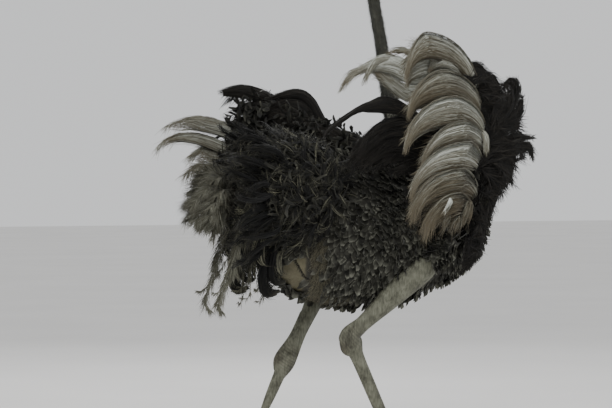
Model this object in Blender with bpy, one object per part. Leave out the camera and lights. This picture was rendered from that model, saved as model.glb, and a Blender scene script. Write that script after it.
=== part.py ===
"""A male common ostrich, life size, striding with its right wing raised in display.

Metres, +Z up, +X forward, +Y to the bird's left. The floor is Z = 0.
Every solid reaches to the tips of the plumage that it stands for.
The bird is built over its own ground point, then set so that the middle of its box is at X = Y = 0.
"""

import math

import bmesh
import bpy
from mathutils import Vector

# Driving dimensions
GAP = 0.0006  # clearance that a cut leaves between two neighbours
SIDES = 12
TRUNK_SIDES = 20
VOXEL = 0.010  # detail kept where feathers are joined into one solid
BIG_TOE = 0.170
SMALL_TOE = 0.125
TOE_SPLAY = math.radians(36)
EYE_RADIUS = 0.0235
EYE_PLACE = (0.056, 0.0245, 0.010)  # forward from the head's base, to the side, and up
HEAD_BASE = Vector((0.058, 0.0, 2.300))
HEAD_TILT = math.radians(-8)

# The trunk from vent to breast: forward, lowest, highest and half width
TRUNK = (
    (-0.58, 1.00, 1.12, 0.045),
    (-0.50, 0.865, 1.20, 0.125),
    (-0.38, 0.745, 1.27, 0.190),
    (-0.24, 0.690, 1.30, 0.230),
    (-0.10, 0.672, 1.31, 0.250),
    (0.05, 0.685, 1.30, 0.252),
    (0.20, 0.715, 1.275, 0.245),
    (0.32, 0.765, 1.235, 0.215),
    (0.41, 0.820, 1.195, 0.175),
    (0.465, 0.895, 1.150, 0.125),
    (0.495, 0.980, 1.090, 0.055),
)
# The thigh's bulge at the near flank, and how far to the side it lies
THIGH = (
    (-0.10, 0.99, 1.03, 0.020),
    (-0.06, 0.93, 1.07, 0.060),
    (0.04, 0.885, 1.10, 0.088),
    (0.14, 0.875, 1.08, 0.088),
    (0.22, 0.885, 1.03, 0.062),
    (0.25, 0.920, 0.98, 0.022),
)
THIGH_OFFSET = -0.170
# The ruffled feathers over the rump: the same four measures
RUMP = (
    (-0.20, 1.03, 1.29, 0.170),
    (-0.28, 0.92, 1.355, 0.265),
    (-0.38, 0.875, 1.385, 0.305),
    (-0.49, 0.885, 1.37, 0.280),
    (-0.585, 0.94, 1.315, 0.200),
    (-0.655, 1.03, 1.22, 0.085),
)
# Tufts that stand out over the rump: how far round from the top, and how far back they reach
RUMP_TUFTS = ((20, 1.0), (62, 1.0), (100, 0.85), (138, 0.45))
# The tail's fleshy root: forward of its own point, and half width
TAIL_ROOT = Vector((-0.605, 0.0, 1.103))
TAIL_CORE = ((0.09, 0.03), (0.03, 0.075), (-0.08, 0.085), (-0.16, 0.05))
# Rows of tail plumes: how steeply they rise, how far to each side they turn, and how far they reach
TAIL_ROWS = (
    (50, (-30, 0, 30), 0.165),
    (28, (-42, -14, 14, 42), 0.175),
    (4, (-42, -14, 14, 42), 0.185),
    (-14, (-36, 0, 36), 0.130),
)
# The neck's middle line from inside the breast to the skull, and its half widths
NECK_PATH = (
    (0.40, 0.0, 1.04),
    (0.37, 0.0, 1.17),
    (0.27, 0.0, 1.285),
    (0.16, 0.0, 1.365),
    (0.100, 0.0, 1.45),
    (0.070, 0.0, 1.58),
    (0.045, 0.0, 1.727),
    (0.006, 0.0, 1.93),
    (-0.020, 0.0, 2.08),
    (-0.018, 0.0, 2.19),
    (0.015, 0.0, 2.268),
    (0.060, 0.0, 2.305),
)
NECK_HALF_WIDTHS = (0.115, 0.105, 0.080, 0.058, 0.045, 0.036, 0.032, 0.030, 0.028, 0.027, 0.027, 0.027)
NECK_SPLIT = 0.50

# The skull and the two bills: distance from the head's base, lift, half width, height above and depth below
SKULL = (
    (-0.030, 0.0, 0.010, 0.014, 0.010),
    (-0.022, 0.0, 0.026, 0.030, 0.026),
    (0.000, 0.0, 0.037, 0.041, 0.036),
    (0.030, 0.0, 0.043, 0.046, 0.038),
    (0.058, 0.0, 0.043, 0.045, 0.034),
    (0.085, 0.0, 0.036, 0.034, 0.027),
    (0.104, 0.0, 0.030, 0.023, 0.020),
)
UPPER_BILL = (
    (0.1046, 0.0, 0.0295, 0.022, 0.0),
    (0.125, 0.0, 0.0285, 0.019, 0.0),
    (0.150, 0.0, 0.0265, 0.016, 0.0),
    (0.175, -0.001, 0.0225, 0.015, 0.0),
    (0.192, -0.003, 0.0165, 0.013, 0.0),
    (0.202, -0.005, 0.0075, 0.009, 0.0),
)
LOWER_BILL = (
    (0.1046, -0.0008, 0.0280, 0.0, 0.018),
    (0.125, -0.0008, 0.0265, 0.0, 0.0155),
    (0.150, -0.0008, 0.0240, 0.0, 0.013),
    (0.175, -0.0018, 0.0195, 0.0, 0.0105),
    (0.190, -0.0040, 0.0130, 0.0, 0.007),
    (0.197, -0.0055, 0.0050, 0.0, 0.004),
)

# Leg joints, and the half widths fore-and-aft and sideways at shares of each bone's length
KNEE = {"right": Vector((0.150, -0.215, 0.868)), "left": Vector((-0.077, 0.158, 0.898))}
ANKLE = {"right": Vector((-0.167, -0.125, 0.568)), "left": Vector((-0.338, 0.100, 0.475))}
BALL = {"right": Vector((0.045, -0.108, 0.132)), "left": Vector((-0.546, 0.085, 0.055))}
GIRTH = {"right": 1.0, "left": 0.9}  # the drawn-back leg's calf is slack
DRUMSTICK = (
    (-0.08, 0.046, 0.038),
    (0.02, 0.058, 0.050),
    (0.15, 0.061, 0.054),
    (0.30, 0.057, 0.050),
    (0.56, 0.050, 0.042),
    (0.84, 0.037, 0.032),
    (0.94, 0.036, 0.031),
)
SHANK = (
    (-0.065, 0.030, 0.028),
    (-0.02, 0.049, 0.038),
    (0.06, 0.046, 0.034),
    (0.16, 0.035, 0.027),
    (0.45, 0.028, 0.023),
    (0.75, 0.026, 0.023),
    (0.93, 0.030, 0.028),
    (1.02, 0.028, 0.028),
)

# Wing bones from the shoulder to the hand's tip
ARM_RIGHT = ((0.27, -0.15, 1.13), (0.25, -0.40, 1.07), (0.22, -0.435, 1.28), (0.17, -0.44, 1.49))
ARM_LEFT = ((0.27, 0.15, 1.13), (-0.03, 0.33, 1.24), (-0.16, 0.40, 1.33), (-0.32, 0.42, 1.36))
ARM_HALF_WIDTHS = (0.095, 0.065, 0.045, 0.020)
LEAST_HALF = 0.012  # half the width of a plume's thinnest part
PLUME_SKIN = 0.010  # half the thickness of a plume that isn't crowned

# The black plumes before the raised arm: forward and height of each one's path, and its width
FAN_SIDE = -0.455
FAN = (
    (((0.16, 1.50), (0.19, 1.60), (0.235, 1.635), (0.29, 1.60)), 0.060),
    (((0.17, 1.47), (0.24, 1.575), (0.30, 1.585), (0.345, 1.53)), 0.065),
    (((0.18, 1.43), (0.27, 1.51), (0.325, 1.52), (0.355, 1.46)), 0.070),
    (((0.19, 1.36), (0.33, 1.44), (0.405, 1.52), (0.408, 1.578), (0.378, 1.588), (0.362, 1.555)), 0.040),
    (((0.19, 1.34), (0.33, 1.41), (0.42, 1.46), (0.445, 1.525)), 0.045),
    (((0.20, 1.32), (0.31, 1.40), (0.39, 1.43), (0.425, 1.39)), 0.080),
    (((0.20, 1.29), (0.34, 1.345), (0.42, 1.365), (0.497, 1.366)), 0.030),
    (((0.20, 1.28), (0.33, 1.31), (0.42, 1.328), (0.475, 1.325), (0.493, 1.285)), 0.040),
    (((0.20, 1.26), (0.31, 1.32), (0.375, 1.315), (0.405, 1.25)), 0.080),
    (((0.21, 1.23), (0.30, 1.275), (0.365, 1.25), (0.385, 1.195)), 0.080),
    (((0.21, 1.20), (0.28, 1.235), (0.335, 1.205), (0.350, 1.150)), 0.080),
    (((0.215, 1.17), (0.27, 1.19), (0.31, 1.15), (0.318, 1.085)), 0.080),
    (((0.215, 1.13), (0.26, 1.145), (0.295, 1.09), (0.300, 1.02)), 0.080),
    (((0.22, 1.09), (0.25, 1.10), (0.275, 1.04), (0.275, 0.97)), 0.075),
    (((0.22, 1.04), (0.24, 1.04), (0.255, 0.98), (0.255, 0.92)), 0.070),
    (((0.22, 0.99), (0.235, 0.98), (0.240, 0.92), (0.225, 0.87)), 0.065),
)
# The black plumes that sweep back from the arm's inner side: path and width
INNER = (
    (((0.14, -0.40, 1.36), (0.02, -0.34, 1.405), (-0.10, -0.32, 1.385), (-0.18, -0.31, 1.34),
      (-0.21, -0.31, 1.28)), 0.060),
    (((0.15, -0.38, 1.28), (0.00, -0.35, 1.355), (-0.13, -0.33, 1.335), (-0.23, -0.31, 1.235)), 0.080),
    (((0.15, -0.38, 1.22), (0.02, -0.36, 1.31), (-0.09, -0.34, 1.30), (-0.19, -0.32, 1.225)), 0.080),
    (((0.15, -0.37, 1.17), (0.05, -0.36, 1.27), (-0.04, -0.345, 1.27), (-0.14, -0.33, 1.215)), 0.080),
    (((0.16, -0.37, 1.12), (0.08, -0.37, 1.21), (0.01, -0.36, 1.23), (-0.07, -0.34, 1.195)), 0.070),
    (((0.17, -0.38, 1.08), (0.12, -0.38, 1.16), (0.05, -0.37, 1.17), (0.00, -0.36, 1.12)), 0.065),
    (((0.19, -0.38, 1.02), (0.14, -0.38, 1.10), (0.08, -0.37, 1.10), (0.04, -0.36, 1.04)), 0.060),
)
# The long thin black plume over the back: its upper and lower edge
STREAMER = (
    ((0.10, -0.40, 1.40), (-0.02, -0.34, 1.497), (-0.075, -0.34, 1.520), (-0.125, -0.34, 1.528),
     (-0.175, -0.34, 1.506), (-0.22, -0.34, 1.486), (-0.30, -0.34, 1.438), (-0.36, -0.34, 1.400),
     (-0.385, -0.34, 1.358)),
    ((0.08, -0.40, 1.34), (-0.03, -0.34, 1.445), (-0.08, -0.34, 1.458), (-0.13, -0.34, 1.462),
     (-0.18, -0.34, 1.464), (-0.23, -0.34, 1.466), (-0.295, -0.34, 1.432), (-0.36, -0.34, 1.388),
     (-0.383, -0.34, 1.358)),
)
# The seven white plumes down the raised hand, from the top: where each leaves the hand, crests and ends
CASCADE = (
    ((0.235, -0.45, 1.51), (-0.048, -0.570, 1.760), (-0.105, -0.500, 1.590)),
    ((0.245, -0.45, 1.46), (0.022, -0.570, 1.615), (-0.095, -0.500, 1.435)),
    ((0.260, -0.45, 1.37), (0.062, -0.575, 1.515), (-0.110, -0.500, 1.305)),
    ((0.250, -0.45, 1.31), (0.108, -0.575, 1.420), (-0.035, -0.500, 1.225)),
    ((0.245, -0.45, 1.235), (0.125, -0.580, 1.340), (-0.085, -0.500, 1.115)),
    ((0.235, -0.45, 1.13), (0.095, -0.575, 1.235), (-0.080, -0.495, 1.030)),
    ((0.220, -0.45, 1.06), (0.090, -0.560, 1.140), (-0.020, -0.490, 0.965)),
)
CASCADE_FACING = (-0.30, -0.90, 0.35)
# The white plumes that blow inward over the back from the top of the hand: the edges of each
TOPMOST = (
    (((0.165, -0.48, 1.645), (0.06, -0.40, 1.655), (-0.016, -0.345, 1.67), (-0.095, -0.34, 1.695),
      (-0.155, -0.34, 1.675), (-0.20, -0.34, 1.648), (-0.27, -0.34, 1.615), (-0.312, -0.34, 1.548)),
     ((0.165, -0.475, 1.600), (0.06, -0.39, 1.575), (-0.016, -0.34, 1.580), (-0.075, -0.34, 1.608),
      (-0.13, -0.34, 1.625), (-0.185, -0.34, 1.628), (-0.25, -0.34, 1.606), (-0.310, -0.34, 1.542))),
    (((0.170, -0.475, 1.605), (0.06, -0.385, 1.585), (-0.016, -0.335, 1.575), (-0.075, -0.335, 1.600),
      (-0.12, -0.335, 1.613), (-0.166, -0.335, 1.624)),
     ((0.170, -0.470, 1.550), (0.06, -0.37, 1.520), (-0.020, -0.34, 1.510), (-0.075, -0.34, 1.548),
      (-0.12, -0.34, 1.583), (-0.166, -0.34, 1.620))),
)
# The trailing wing's black plumes: path and width
LEFT_BLACK = (
    (((0.16, 0.22, 1.20), (0.13, 0.24, 1.29), (0.05, 0.26, 1.335), (-0.05, 0.27, 1.350),
      (-0.14, 0.28, 1.32)), 0.080),
    (((0.10, 0.26, 1.21), (0.05, 0.28, 1.31), (-0.04, 0.30, 1.375), (-0.14, 0.31, 1.395),
      (-0.24, 0.31, 1.37)), 0.075),
    (((0.00, 0.31, 1.28), (-0.08, 0.33, 1.36), (-0.17, 0.34, 1.43), (-0.27, 0.35, 1.46),
      (-0.36, 0.35, 1.44)), 0.090),
    (((-0.06, 0.36, 1.28), (-0.14, 0.37, 1.38), (-0.24, 0.38, 1.45), (-0.34, 0.39, 1.49),
      (-0.44, 0.39, 1.475)), 0.090),
    (((-0.10, 0.37, 1.26), (-0.20, 0.39, 1.36), (-0.32, 0.40, 1.42), (-0.46, 0.40, 1.42)), 0.090),
    (((-0.14, 0.39, 1.28), (-0.24, 0.40, 1.35), (-0.36, 0.41, 1.38), (-0.48, 0.41, 1.345)), 0.090),
    (((0.10, 0.27, 1.18), (0.00, 0.35, 1.17), (-0.16, 0.39, 1.16), (-0.30, 0.38, 1.09)), 0.120),
    (((0.02, 0.31, 1.22), (-0.10, 0.39, 1.24), (-0.27, 0.42, 1.23), (-0.41, 0.41, 1.15)), 0.120),
    (((0.06, 0.30, 1.26), (-0.04, 0.37, 1.30), (-0.18, 0.40, 1.31), (-0.32, 0.41, 1.26)), 0.110),
    (((0.20, 0.21, 1.13), (0.10, 0.30, 1.09), (-0.05, 0.34, 1.05), (-0.18, 0.34, 0.98)), 0.120),
    (((-0.03, 0.33, 1.39), (-0.08, 0.33, 1.450), (-0.11, 0.33, 1.505), (-0.155, 0.33, 1.545),
      (-0.205, 0.33, 1.552), (-0.26, 0.33, 1.545), (-0.32, 0.33, 1.530)), 0.050),
)
# Its topmost black plume, and its upper white plumes: the edges of each
LEFT_CREST = (
    ((-0.16, 0.38, 1.40), (-0.21, 0.38, 1.490), (-0.28, 0.38, 1.553), (-0.36, 0.38, 1.582),
     (-0.44, 0.38, 1.588), (-0.528, 0.38, 1.560)),
    ((-0.22, 0.38, 1.38), (-0.26, 0.38, 1.455), (-0.31, 0.38, 1.500), (-0.37, 0.38, 1.525),
     (-0.44, 0.38, 1.533), (-0.520, 0.38, 1.545)),
)
LEFT_WHITE = (
    (((-0.28, 0.43, 1.33), (-0.38, 0.42, 1.403), (-0.45, 0.41, 1.427), (-0.53, 0.41, 1.448),
      (-0.60, 0.41, 1.458), (-0.68, 0.41, 1.441), (-0.735, 0.41, 1.418)),
     ((-0.28, 0.43, 1.27), (-0.40, 0.42, 1.330), (-0.48, 0.41, 1.378), (-0.56, 0.41, 1.398),
      (-0.62, 0.41, 1.407), (-0.68, 0.41, 1.404), (-0.730, 0.41, 1.412))),
    (((-0.28, 0.43, 1.31), (-0.40, 0.43, 1.330), (-0.47, 0.43, 1.350), (-0.53, 0.43, 1.373),
      (-0.60, 0.43, 1.388), (-0.68, 0.43, 1.384), (-0.735, 0.43, 1.360), (-0.765, 0.43, 1.332)),
     ((-0.28, 0.43, 1.27), (-0.42, 0.43, 1.290), (-0.50, 0.43, 1.315), (-0.55, 0.43, 1.335),
      (-0.60, 0.43, 1.352), (-0.66, 0.43, 1.362), (-0.720, 0.43, 1.348), (-0.760, 0.43, 1.325))),
    (((-0.28, 0.44, 1.29), (-0.45, 0.45, 1.320), (-0.55, 0.45, 1.330), (-0.61, 0.45, 1.300)),
     ((-0.28, 0.44, 1.23), (-0.45, 0.45, 1.260), (-0.55, 0.45, 1.265), (-0.60, 0.45, 1.280))),
    (((-0.26, 0.44, 1.26), (-0.40, 0.46, 1.275), (-0.53, 0.46, 1.262), (-0.59, 0.45, 1.255),
      (-0.637, 0.45, 1.222)),
     ((-0.26, 0.44, 1.20), (-0.40, 0.46, 1.205), (-0.51, 0.46, 1.215), (-0.58, 0.45, 1.228),
      (-0.632, 0.45, 1.215))),
)
# Its lower white plumes, which trail and droop: the path of each
LEFT_TRAILING = (
    ((-0.24, 0.43, 1.29), (-0.36, 0.48, 1.22), (-0.49, 0.50, 1.14), (-0.56, 0.47, 1.02)),
    ((-0.22, 0.43, 1.27), (-0.33, 0.48, 1.18), (-0.44, 0.49, 1.09), (-0.51, 0.46, 0.96)),
    ((-0.20, 0.42, 1.25), (-0.29, 0.47, 1.14), (-0.39, 0.48, 1.04), (-0.46, 0.45, 0.91)),
    ((-0.14, 0.41, 1.22), (-0.21, 0.46, 1.11), (-0.29, 0.47, 1.02), (-0.35, 0.44, 0.91)),
)
TRAILING_WIDTH = 0.105
TRAILING_FACING = (-0.2, 1.0, 0.35)


def new_material(name, colour, roughness):
    """A plain Principled material; colour is linear red, green and blue."""
    material = bpy.data.materials.new(name)
    material.use_nodes = True
    shader = material.node_tree.nodes["Principled BSDF"]
    shader.inputs["Base Color"].default_value = (*colour, 1.0)
    shader.inputs["Roughness"].default_value = roughness
    material.diffuse_color = (*colour, 1.0)
    return material


def clear_scene():
    for old in list(bpy.data.objects):
        bpy.data.objects.remove(old, do_unlink=True)


def add_object(name, bm, material):
    """Makes an object of a bmesh, with its faces pointing out and cut into triangles."""
    bmesh.ops.recalc_face_normals(bm, faces=bm.faces)
    bmesh.ops.triangulate(bm, faces=bm.faces)
    mesh = bpy.data.meshes.new(name)
    bm.to_mesh(mesh)
    bm.free()
    mesh.shade_smooth()
    mesh.set_sharp_from_angle(angle=math.radians(50))
    mesh.materials.append(material)
    made = bpy.data.objects.new(name, mesh)
    bpy.context.scene.collection.objects.link(made)
    return made


def along(values, share):
    """The value at a share, 0 to 1, of a Catmull-Rom curve through evenly spaced values."""
    last = len(values) - 1
    place = min(max(share, 0.0), 1.0) * last
    i = min(int(place), last - 1)
    t = place - i
    a, b, c, d = (values[min(max(k, 0), last)] for k in (i - 1, i, i + 1, i + 2))
    return 0.5 * (2 * b + (c - a) * t + (2 * a - 5 * b + 4 * c - d) * t**2 + (3 * b - a - 3 * c + d) * t**3)


def smooth_path(points, count):
    """Count points on a smooth curve through the given ones."""
    vectors = [Vector(p) for p in points]
    return [along(vectors, k / (count - 1)) for k in range(count)]


def oval(centre, across, up, half, above, below, sides, belly=0.0):
    """A ring of points: half wide each way along across, above and below the centre along up."""
    ring = []
    for k in range(sides):
        turn = 2 * math.pi * k / sides
        rise = math.cos(turn)
        wide = math.sin(turn) * half * (1 - belly * rise)
        ring.append(centre + across * wide + up * rise * (above if rise > 0 else below))
    return ring


def skin_rings(bm, rings):
    """Faces between successive rings, with both ends closed."""
    loops = [[bm.verts.new(p) for p in ring] for ring in rings]
    count = len(loops[0])
    for one, two in zip(loops, loops[1:]):
        for k in range(count):
            bm.faces.new((one[k], one[(k + 1) % count], two[(k + 1) % count], two[k]))
    bm.faces.new(loops[0])
    bm.faces.new(list(reversed(loops[-1])))


def loft(name, rings, material):
    bm = bmesh.new()
    skin_rings(bm, rings)
    return add_object(name, bm, material)


def tangents(path):
    found = []
    for k in range(len(path)):
        ahead = path[min(k + 1, len(path) - 1)]
        behind = path[max(k - 1, 0)]
        found.append((ahead - behind).normalized())
    return found


def body_rings(table, count, belly, offset=0.0):
    """Rings square to X from rows of forward, lowest, highest and half width."""
    rows = [Vector(row) for row in table]
    rings = []
    for k in range(count):
        x, low, high, half = along(rows, k / (count - 1))
        middle = Vector((x, offset, (low + high) / 2))
        rise = (high - low) / 2
        rings.append(oval(middle, Vector((0, 1, 0)), Vector((0, 0, 1)), half, rise, rise, TRUNK_SIDES, belly))
    return rings


def blade(path, width, thick, facing, stations=7, root=0.7):
    """Rings of a plume: a flat blade along a path, its broad side facing one way.

    Width is its widest, and root the share of that width at its quill end.
    """
    points = smooth_path(path, stations)
    rings = []
    for k, (point, ahead) in enumerate(zip(points, tangents(points))):
        share = k / (stations - 1)
        across = ahead.cross(Vector(facing)).normalized()
        normal = across.cross(ahead).normalized()
        widen = root + (1 - root) * min(share / 0.4, 1.0)
        narrow = 1 - 0.72 * max(share - 0.55, 0) / 0.45
        size = widen * narrow / 2
        rings.append(oval(point, across, normal, width * size, thick * size, thick * size, 6))
    return rings


def crowned(edges, depth, facing, stations=9):
    """Rings of a plume between an upper and a lower edge, crowned outward by a depth."""
    upper, lower = (smooth_path(edge, stations) for edge in edges)
    facing = Vector(facing).normalized()
    across = (upper[0] - lower[0]).normalized()
    rings = []
    for k, (high, low) in enumerate(zip(upper, lower)):
        half = (high - low).length / 2
        if half > PLUME_SKIN:
            across = (high - low).normalized()
        normal = (facing - across * facing.dot(across)).normalized()
        crown = depth * (0.35 + 0.65 * math.sin(math.pi * k / (stations - 1)) ** 0.5)
        middle = (high + low) / 2
        rings.append(oval(middle, across, normal, max(half, LEAST_HALF), crown + PLUME_SKIN, PLUME_SKIN, 6))
    return rings


def arch(root, crest, tip):
    """A plume's path that rises steeply from its root, is level at its crest, and droops to its tip."""
    root, crest, tip = Vector(root), Vector(crest), Vector(tip)
    steps = [math.radians(turn) for turn in (0.0, 22.5, 45.0, 67.5, 90.0)]
    rise, fall = crest - root, tip - crest
    up, down = Vector((0, 0, rise.z)), Vector((0, 0, fall.z))
    path = [root + (rise - up) * (1 - math.cos(turn)) + up * math.sin(turn) for turn in steps]
    path += [crest + (fall - down) * math.sin(turn) + down * (1 - math.cos(turn)) for turn in steps[1:]]
    return path


def evaluated_mesh(target):
    graph = bpy.context.evaluated_depsgraph_get()
    return bpy.data.meshes.new_from_object(target.evaluated_get(graph))


def boolean(target, tool, operation):
    """Joins tool to target, or cuts it away, and removes the tool."""
    step = target.modifiers.new("step", "BOOLEAN")
    step.operation = operation
    step.solver = "EXACT"
    step.object = tool
    result = evaluated_mesh(target)
    target.modifiers.clear()
    target.data = result
    bpy.data.objects.remove(tool, do_unlink=True)


def apply_step(target, kind, **settings):
    """Puts one modifier's result in place of the mesh."""
    step = target.modifiers.new("step", kind)
    for setting, value in settings.items():
        setattr(step, setting, value)
    result = evaluated_mesh(target)
    target.modifiers.clear()
    target.data = result


def join_blades(target, blades, faces):
    """Makes one closed skin over a solid and the blades that grow from it, with about so many triangles."""
    bm = bmesh.new()
    bm.from_mesh(target.data)
    for rings in blades:
        skin_rings(bm, rings)
    bmesh.ops.recalc_face_normals(bm, faces=bm.faces)
    bm.to_mesh(target.data)
    bm.free()
    apply_step(target, "REMESH", mode="VOXEL", voxel_size=VOXEL)
    apply_step(target, "SMOOTH", factor=0.5, iterations=4)
    apply_step(target, "TRIANGULATE")
    apply_step(target, "DECIMATE", ratio=min(1.0, faces / len(target.data.polygons)))


def swollen_copy(source, gap):
    """A copy of a solid with its surface moved out by a gap."""
    bm = bmesh.new()
    bm.from_mesh(evaluated_mesh(source))
    bm.normal_update()
    for vertex in bm.verts:
        vertex.co += vertex.normal * gap * min(vertex.calc_shell_factor(), 2.0)
    return add_object("cutter", bm, source.data.materials[0])


def keep_largest(target):
    """Drops the scraps that a cut has parted from the main piece."""
    bm = bmesh.new()
    bm.from_mesh(target.data)
    unseen = set(bm.verts)
    pieces = []
    while unseen:
        front = [unseen.pop()]
        piece = set(front)
        while front:
            vertex = front.pop()
            for edge in vertex.link_edges:
                other = edge.other_vert(vertex)
                if other in unseen:
                    unseen.remove(other)
                    piece.add(other)
                    front.append(other)
        pieces.append(piece)
    pieces.sort(key=len)
    for scrap in pieces[:-1]:
        bmesh.ops.delete(bm, geom=list(scrap), context="VERTS")
    bm.to_mesh(target.data)
    bm.free()


def cut_clear(target, *neighbours):
    """Cuts each neighbour out of the target, and then the gap about it."""
    for neighbour in neighbours:
        for gap in (0.0, GAP):
            boolean(target, swollen_copy(neighbour, gap), "DIFFERENCE")
    keep_largest(target)


def make_trunk(material):
    """The trunk, with the feathered thigh of the leg that is drawn forward."""
    trunk = loft("trunk", body_rings(TRUNK, 15, 0.10), material)
    boolean(trunk, loft("thigh", body_rings(THIGH, 9, 0.0, THIGH_OFFSET), material), "UNION")
    return trunk


def make_rump(material, trunk, tail):
    """The shaggy feathers over the rump, with tufts that stand out behind and hang at the vent."""
    rump = loft("rump_feathers", body_rings(RUMP, 9, 0.0), material)
    tufts = []
    for side in (-1, 1):
        for turn, reach in RUMP_TUFTS:
            angle = math.radians(turn)
            out = Vector((0, side * math.sin(angle), math.cos(angle)))
            start = Vector((-0.44, side * 0.17 * math.sin(angle), 1.12 + 0.16 * math.cos(angle)))
            middle = start + out * 0.10 + Vector((-0.10 * reach, 0, 0.01))
            end = middle + out * 0.02 + Vector((-0.12 * reach, 0, -0.05))
            tufts.append(blade((start, middle, end), 0.15, 0.05, out, stations=5))
        hang = (
            Vector((-0.46, side * 0.13, 0.95)),
            Vector((-0.52, side * 0.15, 0.84)),
            Vector((-0.50, side * 0.14, 0.735)),
        )
        tufts.append(blade(hang, 0.12, 0.05, (0, side, 0), stations=5))
    join_blades(rump, tufts, 520)
    cut_clear(rump, trunk, tail)
    cut_clear(tail, trunk)
    return rump


def make_tail(material):
    """The tail's fan of drooping plumes about its short fleshy root."""
    root = TAIL_ROOT
    tail = loft(
        "tail",
        [oval(root + Vector((x, 0, 0)), Vector((0, 1, 0)), Vector((0, 0, 1)), r, r, r, 8)
         for x, r in TAIL_CORE],
        material,
    )
    plumes = []
    for lift, turns, reach in TAIL_ROWS:
        for turn in turns:
            rise, sway = math.radians(lift), math.radians(turn)
            out = Vector((-math.cos(rise) * math.cos(sway), math.sin(sway), math.sin(rise) * math.cos(sway)))
            middle = root + out * reach
            end = middle + out * reach * 0.35 + Vector((-0.015, 0, -0.085))
            start = root + out * 0.03
            facing = Vector((0.3, 0, 1)) - out * 0.4
            plumes.append(blade((start, middle, end), 0.13, 0.04, facing, stations=6))
    for sign in (-1, 1):
        hang = (root + Vector((-0.01, sign * 0.06, -0.08)), root + Vector((-0.055, sign * 0.08, -0.25)),
                root + Vector((-0.095, sign * 0.07, -0.425)))
        plumes.append(blade(hang, 0.10, 0.04, (-0.3, sign, 0), stations=6))
    join_blades(tail, plumes, 640)
    return tail


def make_arm(name, joints, material):
    """The wing's fleshy arm, from the shoulder to the hand's tip."""
    path = smooth_path(joints, 9)
    rings = []
    for k, (point, ahead) in enumerate(zip(path, tangents(path))):
        half = along(ARM_HALF_WIDTHS, k / 8)
        across = ahead.cross(Vector((1, 0, 0.2))).normalized()
        rings.append(oval(point, across, across.cross(ahead), half, half * 0.8, half * 0.8, 10))
    return loft(name, rings, material)


def right_coverts():
    """Black plumes that fan forward from the raised arm, and sweep back from its inner side."""
    blades = []
    for path, width in FAN:
        spine = [(x, FAN_SIDE, z) for x, z in path]
        blades.append(blade(spine, width, 0.05, (0, -1, 0.1), root=0.6))
    for path, width in INNER:
        blades.append(blade(path, width, 0.05, (0, -1, 0.1), root=0.6))
    blades.append(crowned(STREAMER, 0.016, (0, -1, 0)))
    return blades


def right_primaries():
    """White plumes down the raised hand, each curling out and back like a breaking wave."""
    blades = []
    for k, (root, crest, tip) in enumerate(CASCADE):
        root, crest, tip = Vector(root), Vector(crest), Vector(tip)
        if k == 0:
            below = Vector((-0.020, -0.555, 1.665))
        elif k + 1 < len(CASCADE):
            below = Vector(CASCADE[k + 1][1]) + Vector((0.0, 0.035, -0.012))
        else:
            below = crest + Vector((-0.01, 0.02, -0.085))
        lower = arch(root + Vector((-0.01, 0.01, -0.055)), below, tip + Vector((0.004, 0, -0.008)))
        blades.append(crowned((arch(root, crest, tip), lower), 0.036, CASCADE_FACING))
    blades += [crowned(edges, 0.020, (0, -1, 0)) for edges in TOPMOST]
    return blades


def left_coverts():
    """Black feathers of the trailing wing: some arch up over the back, some lie along the flank."""
    blades = [blade(path, width, 0.05, (0, 1, 0.15)) for path, width in LEFT_BLACK]
    blades.append(crowned(LEFT_CREST, 0.012, (0, -1, 0.2)))
    return blades


def left_primaries():
    """White plumes that trail back from the left hand and droop."""
    blades = [crowned(edges, 0.020, (0, 1, 0.2)) for edges in LEFT_WHITE]
    blades += [blade(path, TRAILING_WIDTH, 0.05, TRAILING_FACING, root=0.5) for path in LEFT_TRAILING]
    return blades


def make_wing(side, arm, coverts, primaries, black, white, *neighbours):
    """One wing in two nodes: the arm with its black feathers, and the white plumes at its hand."""
    plumes = loft(f"wing_plumes_{side}", primaries[0], white)
    join_blades(plumes, primaries[1:], 800)
    cut_clear(plumes, *neighbours)
    wing = make_arm(f"wing_{side}", arm, black)
    join_blades(wing, coverts, 820)
    cut_clear(wing, *neighbours, plumes)


def make_neck(material, trunk):
    """The neck in two lengths; gives back the upper one."""
    stations = 23
    path = smooth_path(NECK_PATH, stations)
    ahead = tangents(path)
    across = Vector((0, 1, 0))

    def ring(k, shift=0.0):
        half = along(NECK_HALF_WIDTHS, k / (stations - 1))
        up = ahead[k].cross(across).normalized()
        return oval(path[k] + ahead[k] * shift, across, up, half, half * 1.06, half * 1.06, SIDES)

    middle = round(NECK_SPLIT * (stations - 1))
    below = [ring(k) for k in range(middle)] + [ring(middle, -GAP / 2)]
    beyond = [ring(middle, GAP / 2)] + [ring(k) for k in range(middle + 1, stations)]
    lower = loft("neck_lower", below, material)
    upper = loft("neck_upper", beyond, material)
    cut_clear(lower, trunk)
    return upper


def head_rings(table, sides):
    """Rings square to the head's own forward line."""
    ahead = Vector((math.cos(HEAD_TILT), 0, math.sin(HEAD_TILT)))
    up = Vector((-ahead.z, 0, ahead.x))
    rings = []
    for forward, lift, half, above, below in table:
        middle = HEAD_BASE + ahead * forward + up * lift
        rings.append(oval(middle, Vector((0, 1, 0)), up, half, above, below, sides))
    return rings


def make_eye(side, sign, material):
    """An eyeball, set in the head."""
    ahead = Vector((math.cos(HEAD_TILT), 0, math.sin(HEAD_TILT)))
    forward, side_way, lift = EYE_PLACE
    centre = HEAD_BASE + ahead * forward + Vector((0, sign * side_way, lift))
    bm = bmesh.new()
    bmesh.ops.create_uvsphere(bm, u_segments=14, v_segments=8, radius=EYE_RADIUS)
    bmesh.ops.translate(bm, verts=bm.verts, vec=centre)
    return add_object(f"eye_{side}", bm, material)


def make_bill(name, table, material):
    """One bill; its mouth side is flat across."""
    return loft(name, head_rings(table, 14), material)


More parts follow.
